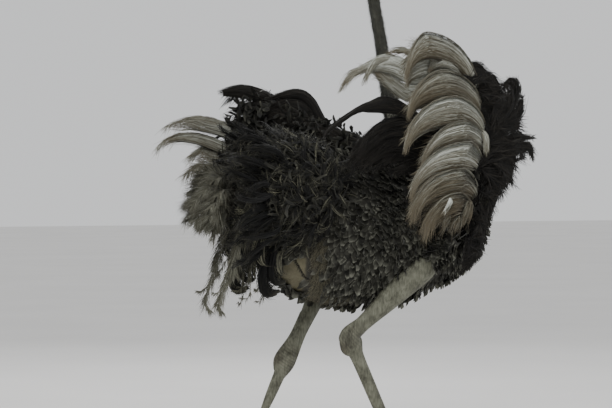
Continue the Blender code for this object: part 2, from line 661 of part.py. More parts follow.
def make_head(skin, horn, eye, neck):
    head = loft("head", head_rings(SKULL, 16), skin)
    eyes = [make_eye(side, sign, eye) for side, sign in (("right", -1), ("left", 1))]
    cut_clear(neck, head)
    cut_clear(head, *eyes)
    make_bill("bill_upper", UPPER_BILL, horn)
    make_bill("bill_lower", LOWER_BILL, horn)


def bone_rings(start, end, table, forward, girth):
    """Rings down a leg bone; forward is the direction of its front edge."""
    line = end - start
    ahead = line.normalized()
    across = ahead.cross(forward).normalized()
    front = across.cross(ahead).normalized()
    return [
        oval(start + line * share, across, front, side * girth, fore * girth, fore * girth, SIDES)
        for share, fore, side in table
    ]


def make_leg(side, skin, trunk, rump):
    """The bare drumstick below the knee, and the scaled shank; gives back the shank."""
    forward = Vector((1, 0, 0.4))
    thigh = bone_rings(KNEE[side], ANKLE[side], DRUMSTICK, forward, GIRTH[side])
    drumstick = loft(f"drumstick_{side}", thigh, skin)
    shank = loft(f"shank_{side}", bone_rings(ANKLE[side], BALL[side], SHANK, forward, 1.0), skin)
    cut_clear(drumstick, shank, trunk, rump)
    return shank


def sole_flat(rings):
    """Presses whatever is below the floor up to it, so that the toe's pads are flat."""
    return [[Vector((p.x, p.y, max(p.z, 0.0))) for p in ring] for ring in rings]


def toe_rings(path, widths, heights):
    """Rings along a toe, with its pads pressed flat."""
    rings = []
    points = smooth_path(path, len(widths))
    for k, (point, ahead) in enumerate(zip(points, tangents(points))):
        across = Vector((0, 0, 1)).cross(ahead).normalized()
        up = ahead.cross(across).normalized()
        rings.append(oval(point, across, up, widths[k], heights[k], heights[k], SIDES))
    return sole_flat(rings)


def toe_path(start, end):
    """Points from the ball to a toe's tip, dropping early so that the last third lies on the floor."""
    drops = (1.0, 0.50, 0.09, 0.0)
    return [
        Vector((*start.lerp(end, k / 3).xy, end.z + (start.z - end.z) * drop))
        for k, drop in enumerate(drops)
    ]


def make_foot(side, skin, horn, shank):
    """The big inner toe with its claw, and the small outer toe that joins it at the ball."""
    sign = -1 if side == "right" else 1
    ball = BALL[side]
    reach = BIG_TOE - 0.15 * (ball.z - 0.05)
    tip = Vector((ball.x + reach, ball.y - sign * 0.004, 0.013))
    foot = loft(
        f"foot_{side}",
        toe_rings(toe_path(ball + Vector((-0.004, 0, -0.008)), tip),
                  (0.026, 0.030, 0.029, 0.028, 0.030, 0.028, 0.019),
                  (0.028, 0.032, 0.029, 0.027, 0.028, 0.024, 0.018)),
        skin,
    )
    out = Vector((math.cos(TOE_SPLAY), sign * math.sin(TOE_SPLAY), 0))
    small_start = ball + Vector((-0.002, sign * 0.012, -0.010))
    small_tip = Vector((*(small_start + out * SMALL_TOE).xy, 0.009))
    small = loft(
        "small_toe",
        toe_rings(toe_path(small_start, small_tip),
                  (0.018, 0.021, 0.019, 0.019, 0.017, 0.010), (0.020, 0.022, 0.019, 0.018, 0.016, 0.012)),
        skin,
    )
    nail_start = tip + Vector((-0.006, 0, 0.007))
    nail_end = Vector((tip.x + 0.062, tip.y - sign * 0.006, 0.008))
    claw = loft(
        f"claw_{side}",
        toe_rings((nail_start, nail_start.lerp(nail_end, 0.55) + Vector((0, 0, 0.004)), nail_end),
                  (0.0165, 0.0155, 0.012, 0.006), (0.0165, 0.015, 0.010, 0.005)),
        horn,
    )
    boolean(foot, small, "UNION")
    cut_clear(foot, shank)
    cut_clear(claw, foot)


def centre_on_floor():
    """Sets the model so that the middle of its box is over X = Y = 0."""
    bpy.context.view_layer.update()
    corners = [made.matrix_world @ Vector(c) for made in bpy.data.objects for c in made.bound_box]
    low = Vector(min(c[i] for c in corners) for i in range(3))
    high = Vector(max(c[i] for c in corners) for i in range(3))
    for made in bpy.data.objects:
        made.location -= Vector(((low.x + high.x) / 2, (low.y + high.y) / 2, low.z))


def main():
    clear_scene()
    flank = new_material("flank_feathers", (0.022, 0.021, 0.018), 0.75)
    black = new_material("black_feathers", (0.009, 0.009, 0.009), 0.70)
    white = new_material("white_plumes", (0.42, 0.42, 0.36), 0.80)
    tail_white = new_material("tail_plumes", (0.26, 0.25, 0.18), 0.80)
    down = new_material("neck_down", (0.085, 0.080, 0.060), 0.85)
    skin = new_material("bare_skin", (0.26, 0.26, 0.20), 0.60)
    horn = new_material("horn", (0.24, 0.20, 0.13), 0.45)
    eye = new_material("eye", (0.03, 0.018, 0.010), 0.08)

    trunk = make_trunk(flank)
    tail = make_tail(tail_white)
    rump = make_rump(black, trunk, tail)
    make_head(down, horn, eye, make_neck(down, trunk))
    make_wing("right", ARM_RIGHT, right_coverts(), right_primaries(), black, white, trunk, rump, tail)
    make_wing("left", ARM_LEFT, left_coverts(), left_primaries(), black, white, trunk, rump, tail)
    for side in ("right", "left"):
        make_foot(side, skin, horn, make_leg(side, skin, trunk, rump))
    centre_on_floor()


main()
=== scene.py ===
"""The looks of a life-size male ostrich in display: one skin, and a coat of solid feathers over it.

Lengths are metres. Everything is laid out over the bird's own ground point, +X forward and +Y to its left,
as in the solids' source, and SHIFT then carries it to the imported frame.
"""

import functools
import math

import bmesh
import bpy
import numpy as np
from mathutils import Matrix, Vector
from mathutils.bvhtree import BVHTree


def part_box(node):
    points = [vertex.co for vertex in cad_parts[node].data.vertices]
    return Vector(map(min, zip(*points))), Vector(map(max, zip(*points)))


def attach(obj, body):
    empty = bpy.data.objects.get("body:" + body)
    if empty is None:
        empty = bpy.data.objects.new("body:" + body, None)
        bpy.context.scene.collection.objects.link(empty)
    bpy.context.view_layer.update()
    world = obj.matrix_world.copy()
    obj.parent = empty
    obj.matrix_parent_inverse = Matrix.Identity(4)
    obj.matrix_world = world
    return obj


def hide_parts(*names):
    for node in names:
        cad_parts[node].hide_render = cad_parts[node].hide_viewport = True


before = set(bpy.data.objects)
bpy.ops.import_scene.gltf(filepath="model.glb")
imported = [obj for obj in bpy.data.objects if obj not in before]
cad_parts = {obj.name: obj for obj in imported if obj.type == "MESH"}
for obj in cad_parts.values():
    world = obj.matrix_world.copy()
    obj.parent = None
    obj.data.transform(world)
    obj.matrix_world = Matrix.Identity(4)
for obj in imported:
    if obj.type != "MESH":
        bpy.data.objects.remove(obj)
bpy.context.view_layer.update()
rng = np.random.default_rng(11)
draw, gauss = rng.uniform, rng.normal

# ---------------------------------------------------------------- the bird's measures, as in its solids
# The trunk from vent to breast: forward, lowest, highest and half width
TRUNK = np.array((
    (-0.58, 1.0, 1.12, 0.045), (-0.5, 0.865, 1.2, 0.125), (-0.38, 0.745, 1.27, 0.19),
    (-0.24, 0.69, 1.3, 0.23), (-0.1, 0.672, 1.31, 0.25), (0.05, 0.685, 1.3, 0.252),
    (0.2, 0.715, 1.275, 0.245), (0.32, 0.765, 1.235, 0.215), (0.41, 0.82, 1.195, 0.175),
    (0.465, 0.895, 1.15, 0.125), (0.495, 0.98, 1.09, 0.055),
))
THIGH = np.array((
    (-0.1, 0.99, 1.03, 0.02), (-0.06, 0.93, 1.07, 0.06), (0.04, 0.885, 1.1, 0.088),
    (0.14, 0.875, 1.08, 0.088), (0.22, 0.885, 1.03, 0.062), (0.25, 0.92, 0.98, 0.022),
))
THIGH_OFFSET = -0.17
RUMP = np.array((
    (-0.2, 1.03, 1.29, 0.17), (-0.28, 0.92, 1.355, 0.265), (-0.38, 0.875, 1.385, 0.305),
    (-0.49, 0.885, 1.37, 0.28), (-0.585, 0.94, 1.315, 0.2), (-0.655, 1.03, 1.22, 0.085),
))
NECK_PATH = np.array((
    (0.4, 0.0, 1.04), (0.37, 0.0, 1.17), (0.27, 0.0, 1.285), (0.16, 0.0, 1.365), (0.1, 0.0, 1.45),
    (0.07, 0.0, 1.58), (0.045, 0.0, 1.727), (0.006, 0.0, 1.93), (-0.02, 0.0, 2.08), (-0.018, 0.0, 2.19),
    (0.015, 0.0, 2.268), (0.06, 0.0, 2.305),
))
NECK_HALF_WIDTHS = np.array((
    0.115, 0.105, 0.08, 0.058, 0.045, 0.036, 0.032, 0.03, 0.028, 0.027, 0.027, 0.027,
))
HEAD_BASE = np.array((0.058, 0.0, 2.3))
HEAD_TILT = math.radians(-8)
EYE_RADIUS = 0.0235
EYE_FORWARD, EYE_SIDE, EYE_RISE = 0.056, 0.0245, 0.01
# Which way along Y each side lies, and each leg's knee, ankle and ball of the foot
SIDES = {"right": -1, "left": 1}
LEGS = {
    "right": np.array(((0.15, -0.215, 0.868), (-0.167, -0.125, 0.568), (0.045, -0.108, 0.132))),
    "left": np.array(((-0.077, 0.158, 0.898), (-0.338, 0.1, 0.475), (-0.546, 0.085, 0.055))),
}
BIG_TOE, SMALL_TOE, TOE_SPLAY = 0.17, 0.125, math.radians(36)
ARM_RIGHT = np.array(((0.27, -0.15, 1.13), (0.25, -0.4, 1.07), (0.22, -0.435, 1.28), (0.17, -0.44, 1.49)))
ARM_LEFT = np.array(((0.27, 0.15, 1.13), (-0.03, 0.33, 1.24), (-0.16, 0.4, 1.33), (-0.32, 0.42, 1.36)))
ARM_GIRTHS = (0.07, 0.042, 0.026, 0.012)
TAIL_ROOT = np.array((-0.605, 0.0, 1.103))

COAT_DEPTH = 0.02  # how far the skin lies inside the trunk's solid
PATCH = 0.003  # width of one tuft's place on the coat's map
BODY_VOXEL = 0.0072
LEG_VOXEL = 0.003
HEAD_VOXEL = 0.0015
BELLY = 0.1  # how much narrower the trunk is above than below
FLOOR_REACH = 40.0
LENS = 144.118  # in millimetres, over a sensor 36 mm wide
BEARING = math.radians(25)  # of the camera, from the bird's right side towards its tail
# The height of the camera's target and its way aside, and how far the camera stands off and above it
VIEW_HEIGHT, VIEW_ASIDE, VIEW_DISTANCE, VIEW_RISE = 1.098, -0.27, 10, 0.152
DRUMSTICK_GAP = (0.205, -0.215, 0.865)  # where the flank's feathers leave room for the right drumstick
# How many feathers or hairs lie on each of these
NECK_HAIRS, HEAD_HAIRS, NECK_SCALES, ARM_SCALES = 27000, 17000, 900, 900
KNEE_SCALES, FOLD_HAIRS, LEFT_VANES, LASHES = 300, 380, 60, 70
TURN = 2 * math.pi

HEAD_AHEAD = np.array((math.cos(HEAD_TILT), 0.0, math.sin(HEAD_TILT)))
HEAD_UP = np.array((-HEAD_AHEAD[2], 0.0, HEAD_AHEAD[0]))
LEFTWARD = np.array((0.0, 1.0, 0.0))


def head_place(forward, side, rise):
    """A point given in the head's own directions."""
    return HEAD_BASE + HEAD_AHEAD * forward + LEFTWARD * side + HEAD_UP * rise


def eye_centre(sign, inward=0.0025):
    """The middle of an eyeball, set a little deeper in the head than its solid."""
    return HEAD_BASE + HEAD_AHEAD * EYE_FORWARD + np.array((0.0, sign * (EYE_SIDE - inward), EYE_RISE))


SHIFT = np.mean(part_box("eye_right"), axis=0) - eye_centre(-1, 0.0)

# Where each part's own unwrap lies on the coat's map: left, bottom, width and height
REGIONS = {
    "trunk": (0.02, 0.02, 0.46, 0.46),
    "rump": (0.02, 0.52, 0.3, 0.46),
    "tail": (0.34, 0.52, 0.14, 0.46),
    "neck": (0.52, 0.02, 0.46, 0.26),
    "legs": (0.52, 0.32, 0.46, 0.16),
    "wing_right": (0.52, 0.52, 0.46, 0.21),
    "wing_left": (0.52, 0.77, 0.46, 0.21),
}


# ---------------------------------------------------------------- small helpers
def unit(v):
    return v / np.maximum(np.linalg.norm(v, axis=-1, keepdims=True), 1e-9)


def curve(points, shares):
    """Points of a Catmull-Rom curve through evenly spaced rows, at shares from 0 to 1 of its length."""
    points = np.asarray(points, float)
    last = len(points) - 1
    place = np.clip(shares, 0, 1) * last
    i = np.minimum(np.floor(place).astype(int), last - 1)
    t = (place - i)[..., None]
    a, b, c, d = (points[np.clip(i + k, 0, last)] for k in (-1, 0, 1, 2))
    return 0.5 * (2 * b + (c - a) * t + (2 * a - 5 * b + 4 * c - d) * t**2 + (3 * b - a - 3 * c + d) * t**3)


def frame_along(spine, shares, facing):
    """Places on a spine, with their forward, sideways and outward directions."""
    here = curve(spine, shares)
    ahead = unit(curve(spine, shares + 0.012) - curve(spine, shares - 0.012))
    across = unit(np.cross(ahead, facing))
    return here, ahead, across, np.cross(across, ahead)


def smoothstep(low, high, value):
    t = np.clip((value - low) / (high - low), 0, 1)
    return t * t * (3 - 2 * t)


def on_map(region, along, around):
    """Each root's place on the coat's map."""
    left, bottom, width, height = REGIONS[region]
    along, around = np.broadcast_arrays(along, around)
    return np.stack((left + width * np.clip(along, 0, 1), bottom + height * np.clip(around, 0, 1)), -1)


def new_mesh(name, points, faces, material):
    """A smooth object of numpy points and square or triangular faces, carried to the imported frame."""
    mesh = bpy.data.meshes.new(name)
    sides = faces.shape[1]
    mesh.vertices.add(len(points))
    mesh.vertices.foreach_set("co", (points + SHIFT).astype(np.float32).ravel())
    mesh.loops.add(faces.size)
    mesh.loops.foreach_set("vertex_index", faces.astype(np.int32).ravel())
    mesh.polygons.add(len(faces))
    mesh.polygons.foreach_set("loop_start", np.arange(0, faces.size, sides, dtype=np.int32))
    mesh.update(calc_edges=True)
    mesh.shade_smooth()
    mesh.materials.append(material)
    made = bpy.data.objects.new(name, mesh)
    bpy.context.scene.collection.objects.link(made)
    return made


def store(mesh, name, values):
    layer = mesh.attributes.new(name, "FLOAT", "POINT")
    layer.data.foreach_set("value", np.asarray(values, np.float32))


def grid_faces(count, rows, columns, first=0, closed=False):
    """Square faces of count grids of points, each rows by columns; a closed grid joins its last column."""
    index = np.arange(count * rows * columns).reshape(count, rows, columns) + first
    if closed:
        index = np.concatenate((index, index[:, :, :1]), axis=2)
    corners = (index[:, :-1, :-1], index[:, :-1, 1:], index[:, 1:, 1:], index[:, 1:, :-1])
    return np.stack(corners, -1).reshape(-1, 4)


def in_plane(y, *lines):
    """Lines of points in one upright plane, from each point's forward place and height."""
    return tuple(tuple((x, y, z) for x, z in line) for line in lines)


def bone_frame(start, end):
    """A leg bone's own directions: along it, across it and out at its front."""
    ahead = unit(end - start)
    across = unit(np.cross(ahead, (1.0, 0.0, 0.4)))
    return ahead, across, np.cross(across, ahead)


def toe_frame(here):
    """A toe's directions across and up, along the line down its middle."""
    ahead = unit(np.gradient(here, axis=0))
    across = unit(np.cross((0, 0, 1.0), ahead))
    return across, np.cross(ahead, across)


def distance(points, spot):
    return np.linalg.norm(points - spot, axis=1)


def spokes(across, up, turn):
    """Directions round an axis, at angles from its upper side."""
    return across * np.sin(turn)[:, None] + up * np.cos(turn)[:, None]


def ripple(value, pitch):
    """Runs from 1 down to 0 and back over each pitch."""
    return np.abs((value / pitch) % 1.0 - 0.5) * 2


def ear_place(sign):
    return head_place(0.004, sign * 0.038, -0.006)


# ---------------------------------------------------------------- materials
class Shader:
    """Builds one material's nodes."""

    def __init__(self, name, roughness, specular=0.3, sheen=0.0):
        self.material = bpy.data.materials.new(name)
        self.material.use_nodes = True
        self.tree = self.material.node_tree
        self.surface = self.tree.nodes["Principled BSDF"]
        finish = {"Roughness": roughness, "Specular IOR Level": specular, "Sheen Weight": sheen}
        self.fill(self.surface, finish)

    def fill(self, node, inputs):
        """Gives each socket, by its name or number, a value, a colour or a link."""
        for key, given in inputs.items():
            by_name = (socket for socket in node.inputs if socket.name == key and socket.enabled)
            socket = node.inputs[key] if isinstance(key, int) else next(by_name)
            if isinstance(given, bpy.types.NodeSocket):
                self.tree.links.new(given, socket)
            elif socket.type == "RGBA":
                socket.default_value = (*given, 1.0)
            else:
                socket.default_value = given

    def node(self, kind, output, inputs, **settings):
        """Makes one node and gives back one of its outputs."""
        made = self.tree.nodes.new(kind)
        for setting, value in settings.items():
            setattr(made, setting, value)
        self.fill(made, inputs)
        return next(socket for socket in made.outputs if socket.name == output and socket.enabled)

    def value(self, name):
        """One of the numbers stored on the mesh's points."""
        return self.node("ShaderNodeAttribute", "Fac", {}, attribute_name=name)

    def place(self):
        """Where a point is on the model, so that a pattern stays with it."""
        return self.node("ShaderNodeTexCoord", "Object", {})

    def noise(self, scale, detail=3.0, stretch=(1.0, 1.0, 1.0)):
        """Solid noise; a stretch below 1 lengthens it along that one of X, Y and Z."""
        place = self.place()
        if stretch != (1.0, 1.0, 1.0):
            place = self.node("ShaderNodeMapping", "Vector", {"Vector": place, "Scale": stretch})
        return self.node("ShaderNodeTexNoise", "Fac", {"Vector": place, "Scale": scale, "Detail": detail})

    def cells(self, scale):
        """How far each place is from the edge of its own small scale."""
        inputs = {"Vector": self.place(), "Scale": scale}
        return self.node("ShaderNodeTexVoronoi", "Distance", inputs, feature="DISTANCE_TO_EDGE")

    def ramp(self, factor, *stops):
        """Turns a number into a colour; each stop is its place and linear red, green and blue."""
        colour = self.node("ShaderNodeValToRGB", "Color", {"Fac": factor})
        points = colour.node.color_ramp.elements
        while len(points) < len(stops):
            points.new(0.5)
        for point, (place, shade) in zip(points, stops):
            point.position = place
            point.color = (*shade, 1.0)
        return colour

    def sum(self, operation, first, second=0.0, clamp=False):
        inputs = {0: first, 1: second}
        return self.node("ShaderNodeMath", "Value", inputs, operation=operation, use_clamp=clamp)

    plus = functools.partialmethod(sum, "ADD")
    minus = functools.partialmethod(sum, "SUBTRACT")
    times = functools.partialmethod(sum, "MULTIPLY")

    def past(self, start):
        """0 up to a share of a strand's or form's length, and from there up to 1 at its end."""
        return self.sum("DIVIDE", self.minus(self.value("along"), start), 1.0 - start, clamp=True)

    def mix(self, factor, first, second):
        inputs = {"Factor": factor, "A": first, "B": second}
        return self.node("ShaderNodeMix", "Result", inputs, data_type="RGBA")

    def bump(self, height, strength, distance):
        inputs = {"Height": height, "Strength": strength, "Distance": distance}
        self.fill(self.surface, {"Normal": self.node("ShaderNodeBump", "Normal", inputs)})

    def finish(self, colour):
        self.fill(self.surface, {"Base Color": colour})
        return self.material


def plume_material(name, dark, middle, light, tip, tip_start):
    """Feather strands: each has its own tone, and they change colour towards their tips."""
    shader = Shader(name, 0.75, specular=0.22, sheen=0.08)
    tone = shader.plus(shader.value("tone"), shader.times(shader.noise(14.0), 0.35))
    tone = shader.minus(tone, 0.17, clamp=True)
    colour = shader.ramp(tone, (0.0, dark), (0.5, middle), (1.0, light))
    return shader.finish(shader.mix(shader.past(tip_start), colour, tip))


def scale_material(name, dark, light, rim):
    """Short shell-like feathers with fine barbs, and paler rims that are painted highlight."""
    shader = Shader(name, 0.7, specular=0.25, sheen=0.05)
    across = shader.sum("ABSOLUTE", shader.value("across"))
    along = shader.value("along")
    edge = shader.sum("MAXIMUM", shader.sum("POWER", across, 3.0), shader.sum("POWER", along, 4.0))
    barbs = shader.sum("SINE", shader.times(shader.minus(along, across), 42.0))
    barbs = shader.times(shader.plus(barbs, 1.0), 0.22)
    base = shader.ramp(shader.plus(shader.value("tone"), barbs, clamp=True), (0.0, dark), (1.0, light))
    # Rims picked at random by noise take the rim colour: painted highlight on the feather edges.
    wear_and_rim_highlight = shader.times(edge, shader.ramp(shader.noise(30.0), (0.4, (0, 0, 0)), (0.65, (1, 1, 1))))
    return shader.finish(shader.mix(wear_and_rim_highlight, base, rim))


def skin_material():
    """Bare skin: pale grey legs, painted shade under the feathers and in creases, tan at the bare flank,
    browner on the ankles.
    """
    shader = Shader("bare_skin", 0.62)
    grain = shader.times(shader.noise(150.0, 5.0, stretch=(1.0, 1.0, 0.22)), 0.5)
    mottle = shader.plus(shader.times(shader.noise(24.0, 6.0), 0.5), grain)
    colour, brown, dark, tan = (shader.ramp(mottle, *stops) for stops in (
        ((0.36, (0.055, 0.054, 0.038)), (0.5, (0.12, 0.121, 0.088)), (0.64, (0.19, 0.192, 0.145))),
        ((0.38, (0.03, 0.026, 0.017)), (0.62, (0.105, 0.095, 0.064))),
        ((0.3, (0.018, 0.017, 0.014)), (0.7, (0.03, 0.028, 0.023))),
        ((0.3, (0.095, 0.084, 0.048)), (0.7, (0.165, 0.15, 0.095))),
    ))
    # On the skin the first mark is only wear: browner heels, balls and ankles. The second is painted shade
    # under the coat.
    for mark, tint in (("wear_and_rim_highlight", brown), ("painted_shade_under_coat", dark), ("bare_flank", tan)):
        colour = shader.mix(shader.value(mark), colour, tint)
    creases = shader.value("crease")
    # Darker in the creases, folds and the head's hollows: painted shade.
    colour = shader.mix(shader.times(creases, 0.75), colour, (0.03, 0.028, 0.022))
    wrinkles = shader.plus(shader.times(shader.cells(230.0), 3.0, clamp=True), mottle)
    shader.bump(shader.minus(wrinkles, creases), 0.45, 0.002)
    return shader.finish(colour)


def horn_material(name, base, tip, tip_at):
    """Horn of the bill and claws, darker and worn towards the tip."""
    shader = Shader(name, 0.42, specular=0.4)
    streaks = shader.noise(60.0, 5.0, stretch=(0.25, 1.0, 1.0))
    colour = shader.mix(shader.times(streaks, 0.5), base, tip)
    shader.bump(streaks, 0.15, 0.001)
    colour = shader.mix(shader.past(tip_at), colour, tip)
    # Darker where the dark mark is set: painted shade in the nostrils and between the two bills.
    return shader.finish(shader.mix(shader.value("dark"), colour, (0.02, 0.016, 0.012)))


# ---------------------------------------------------------------- the coat
class Coat:
    """Gathers tufts as grids of points, and makes one object of them."""

    def __init__(self):
        self.parts = []
        self.faces = []
        self.count = 0

    def add(self, grids, tone, roots):
        """Grids are tufts by rows by columns by 3; each tuft has a tone and its root's place on the map."""
        shape = tufts, rows, columns = grids.shape[:3]
        along = np.broadcast_to(np.linspace(0, 1, rows)[:, None], shape)
        across = np.broadcast_to(np.linspace(-1, 1, columns), shape)
        tone = np.broadcast_to(np.reshape(tone, (-1, 1, 1)), shape)
        roots = np.broadcast_to(roots, (tufts, 2))[:, None, None, :]
        places = roots + PATCH * np.stack((across / 2, along - 0.5), -1)
        self.faces.append(grid_faces(tufts, rows, columns, self.count))
        values = (grids, tone, along, across, places)
        self.parts.append([value.reshape(-1, *value.shape[3:]) for value in values])
        self.count += tufts * rows * columns

    def make(self, name, material, slot, *nodes):
        points, tone, along, across, places = (np.concatenate(values) for values in zip(*self.parts))
        faces = np.concatenate(self.faces)
        made = new_mesh(name, points, faces, material)
        for title, values in (("tone", tone), ("along", along), ("across", across)):
            store(made.data, title, values)
        layer = made.data.uv_layers.new(name="OFBake")
        layer.data.foreach_set("uv", places[faces.ravel()].astype(np.float32).ravel())
        settle(made, slot, *nodes)
        print(f"{name}: {2 * len(faces)} triangles")


def settle(piece, slot, *nodes):
    """Every piece rides on the still body, and may stand for solids; the slot it is given is not used."""
    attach(piece, "root")
    if nodes:
        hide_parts(*nodes)


def ribbons(paths, outward, widths):
    """Flat strands along paths, facing outward."""
    ahead = unit(np.gradient(paths, axis=1))
    half = unit(np.cross(ahead, outward)) * widths[..., None] / 2
    return np.stack((paths - half, paths + half), axis=2)


def taper(rows, root=0.6, tip=0.12):
    """A strand's share of its full width at each row."""
    t = np.linspace(0, 1, rows)
    return np.minimum(root + (1 - root) * t / 0.25, 1.0) * (1 - (1 - tip) * smoothstep(0.5, 1.0, t))


def arch(root, crest, tip):
    """A plume's path that rises steeply from its root, is level at its crest, and droops to its tip."""
    root, crest, tip = (np.asarray(p, float) for p in (root, crest, tip))
    angle = np.linspace(0, math.pi / 2, 5)[:, None]
    level, upright = np.array((1.0, 1.0, 0.0)), np.array((0.0, 0.0, 1.0))
    rise = root + (crest - root) * (level * (1 - np.cos(angle)) + upright * np.sin(angle))
    fall = crest + (tip - crest) * (level * np.sin(angle) + upright * (1 - np.cos(angle)))
    return np.concatenate((rise, fall[1:]))


def band(spine, width, facing, root=0.5, tip=0.15, stations=9):
    """A plume's two edges, from the line down its middle and its greatest width."""
    shares = np.linspace(0, 1, stations)
    here, _, across, _ = frame_along(spine, shares, np.asarray(facing, float))
    size = (root + (1 - root) * smoothstep(0.0, 0.4, shares)) * (1 - (1 - tip) * smoothstep(0.6, 1.0, shares))
    half = across * (size * width / 2)[:, None]
    if half[:, 2].sum() < 0:
        half = -half
    return here + half, here - half


def rolled(edges, share, angle, out, depth, squeeze=1.0, rise=1.0, sunk=0.0):
    """Places on the crowned form between two edges, and half its width there."""
    high, low = (curve(edge, share) for edge in edges)
    half = (high - low) / 2
    crown = depth * (0.35 + 0.65 * np.sin(math.pi * np.clip(share, 0.0, 1.0)) ** 0.5)
    reach = crown * np.sin(angle) * rise - sunk
    return (high + low) / 2 + half * (np.cos(angle) * squeeze)[..., None] + out * reach[..., None], half


def combed(coat, edges, count, place, *, out=(0, -1, 0), depth=0.03, rows=9, strand=0.0036, tone=(0.2, 1.0),
           shade=0.3, clumps=12, fray=0.012, begin=0.45, droop=0.0, core=True, back=0.6, lining=0):
    """A plume of fine strands combed between two edges and crowned outward, over a dense dark core.

    Strands roll over the upper edge by the angle back, draw together into wisps, and fray at their tips.
    A lining is that many broader strands more, within the plume and facing inward.
    """
    out = unit(np.asarray(out, float))
    t = np.linspace(0, 1, rows)[None]
    first = draw(0, begin, (count, 1)) * draw(0, 1, (count, 1))
    last = np.minimum(first + draw(0.45, 1.0, (count, 1)), draw(0.9, 1.02, (count, 1)))
    share = first + (last - first) * t
    angle = draw(-back, math.pi * 0.98, (count, 1))
    bunch = np.sort(draw(0, math.pi, clumps))[rng.integers(0, clumps, count)][:, None]
    angle = angle + (bunch - angle) * 0.55 * smoothstep(0.55, 1.0, share)
    stray = gauss(0, fray, (count, 3))[:, None] * (t**2.5)[..., None]
    lift = draw(0.85, 1.12, (count, 1))
    paths, half = rolled(edges, share, angle, out, depth, np.minimum(lift, 1.0), lift)
    paths = paths + stray
    paths[..., 2] -= droop * t**2 * draw(0.2, 1.0, (count, 1))
    wide = np.linalg.norm(half, axis=-1)
    outward = half * np.cos(angle)[..., None] + out * (np.sin(angle) * wide**2 / depth)[..., None]
    outward = unit(outward + gauss(0, 0.15, (count, 1, 3)) * wide[..., None])
    widths = strand * draw(0.6, 1.3, (count, 1)) * taper(rows)[None]
    # Strands that roll round towards the plume's lower side are darker by shade: painted shade on its
    # underside.
    colour = np.clip(draw(*tone, count) - shade * np.clip(angle[:, 0], 0, 3) / math.pi + 0.12, 0, 1)
    coat.add(ribbons(paths, outward, widths), colour, place)
    if core:
        share, angle = np.linspace(0, 0.93, 12)[:, None], np.linspace(-0.2, math.pi, 9)[None]
        sheet, _ = rolled(edges, share, angle, out, depth, 0.86, 0.72, 0.004)
        # The core's dark tone is painted shade under the strands; the core also keeps the plume from being
        # seen through.
        coat.add(sheet[None], max(tone[0] - shade, 0.0), place)
    if lining:
        share = draw(0, 0.5, (lining, 1)) + draw(0.35, 0.55, (lining, 1)) * t
        angle = draw(0.0, math.pi, (lining, 1)) + gauss(0, 0.25, (lining, 1)) * t
        deep = 0.006 + draw(0.0, 0.01, (lining, 1))
        paths, _ = rolled(edges, share, angle, out, depth, 0.9, 0.72, deep)
        paths = paths + gauss(0, fray, (lining, 1, 3)) * (t**2)[..., None]
        widths = 1.7 * strand * draw(0.6, 1.3, (lining, 1)) * taper(rows)[None]
        outward = np.broadcast_to(-out + gauss(0, 0.3, (lining, 1, 3)), paths.shape)
        # The lining is a little darker: painted shade inside the curl.
        coat.add(ribbons(paths, outward, widths), draw(*tone, lining) - 0.1, place)


def feather(coat, spine, width, count, place, facing, *, rows=5, strand=0.0024, tone=(0.2, 1.0), sweep=0.9,
            droop=0.35, fray=0.1, start=0.05, tip=0.35):
    """A loose plume: a shaft, and soft barbs that leave it on both sides, sweep on and hang."""
    facing = np.asarray(facing, float)
    share = draw(start, 1.0, count)
    here, ahead, across, normal = frame_along(spine, share, facing)
    side = np.where(rng.random(count) < 0.5, -1.0, 1.0)[:, None]
    open_angle = sweep * draw(0.6, 1.25, (count, 1))
    wish = ahead * np.cos(open_angle) + across * side * np.sin(open_angle)
    wish = wish + normal * gauss(0, fray, (count, 1))
    profile = np.minimum(0.55 + share / 0.35, 1.0) * (1 - (1 - tip) * smoothstep(0.55, 1.0, share))
    length = (width * profile * draw(0.55, 1.15, count))[:, None, None]
    t = np.linspace(0, 1, rows)[None, :, None]
    paths = here[:, None] + wish[:, None] * length * t + ahead[:, None] * length * 0.35 * t**2
    paths = paths + gauss(0, fray, (count, 1, 3)) * length * t**2
    paths[..., 2:] -= length * droop * t**2
    outward = np.broadcast_to(normal[:, None] + gauss(0, 0.35, (count, 1, 3)), paths.shape)
    widths = strand * draw(0.6, 1.3, (count, 1)) * taper(rows)[None]
    coat.add(ribbons(paths, outward, widths), draw(*tone, count), place)
    line = curve(np.asarray(spine, float), np.linspace(0, 1, 14))
    for turn in (facing, np.cross(unit(line[-1] - line[0]), facing)):
        shaft = np.linspace(0.0034, 0.0012, 14)[None]
        coat.add(ribbons(line[None], np.broadcast_to(unit(turn), (1, 14, 3)), shaft), tone[1] * 0.8, place)


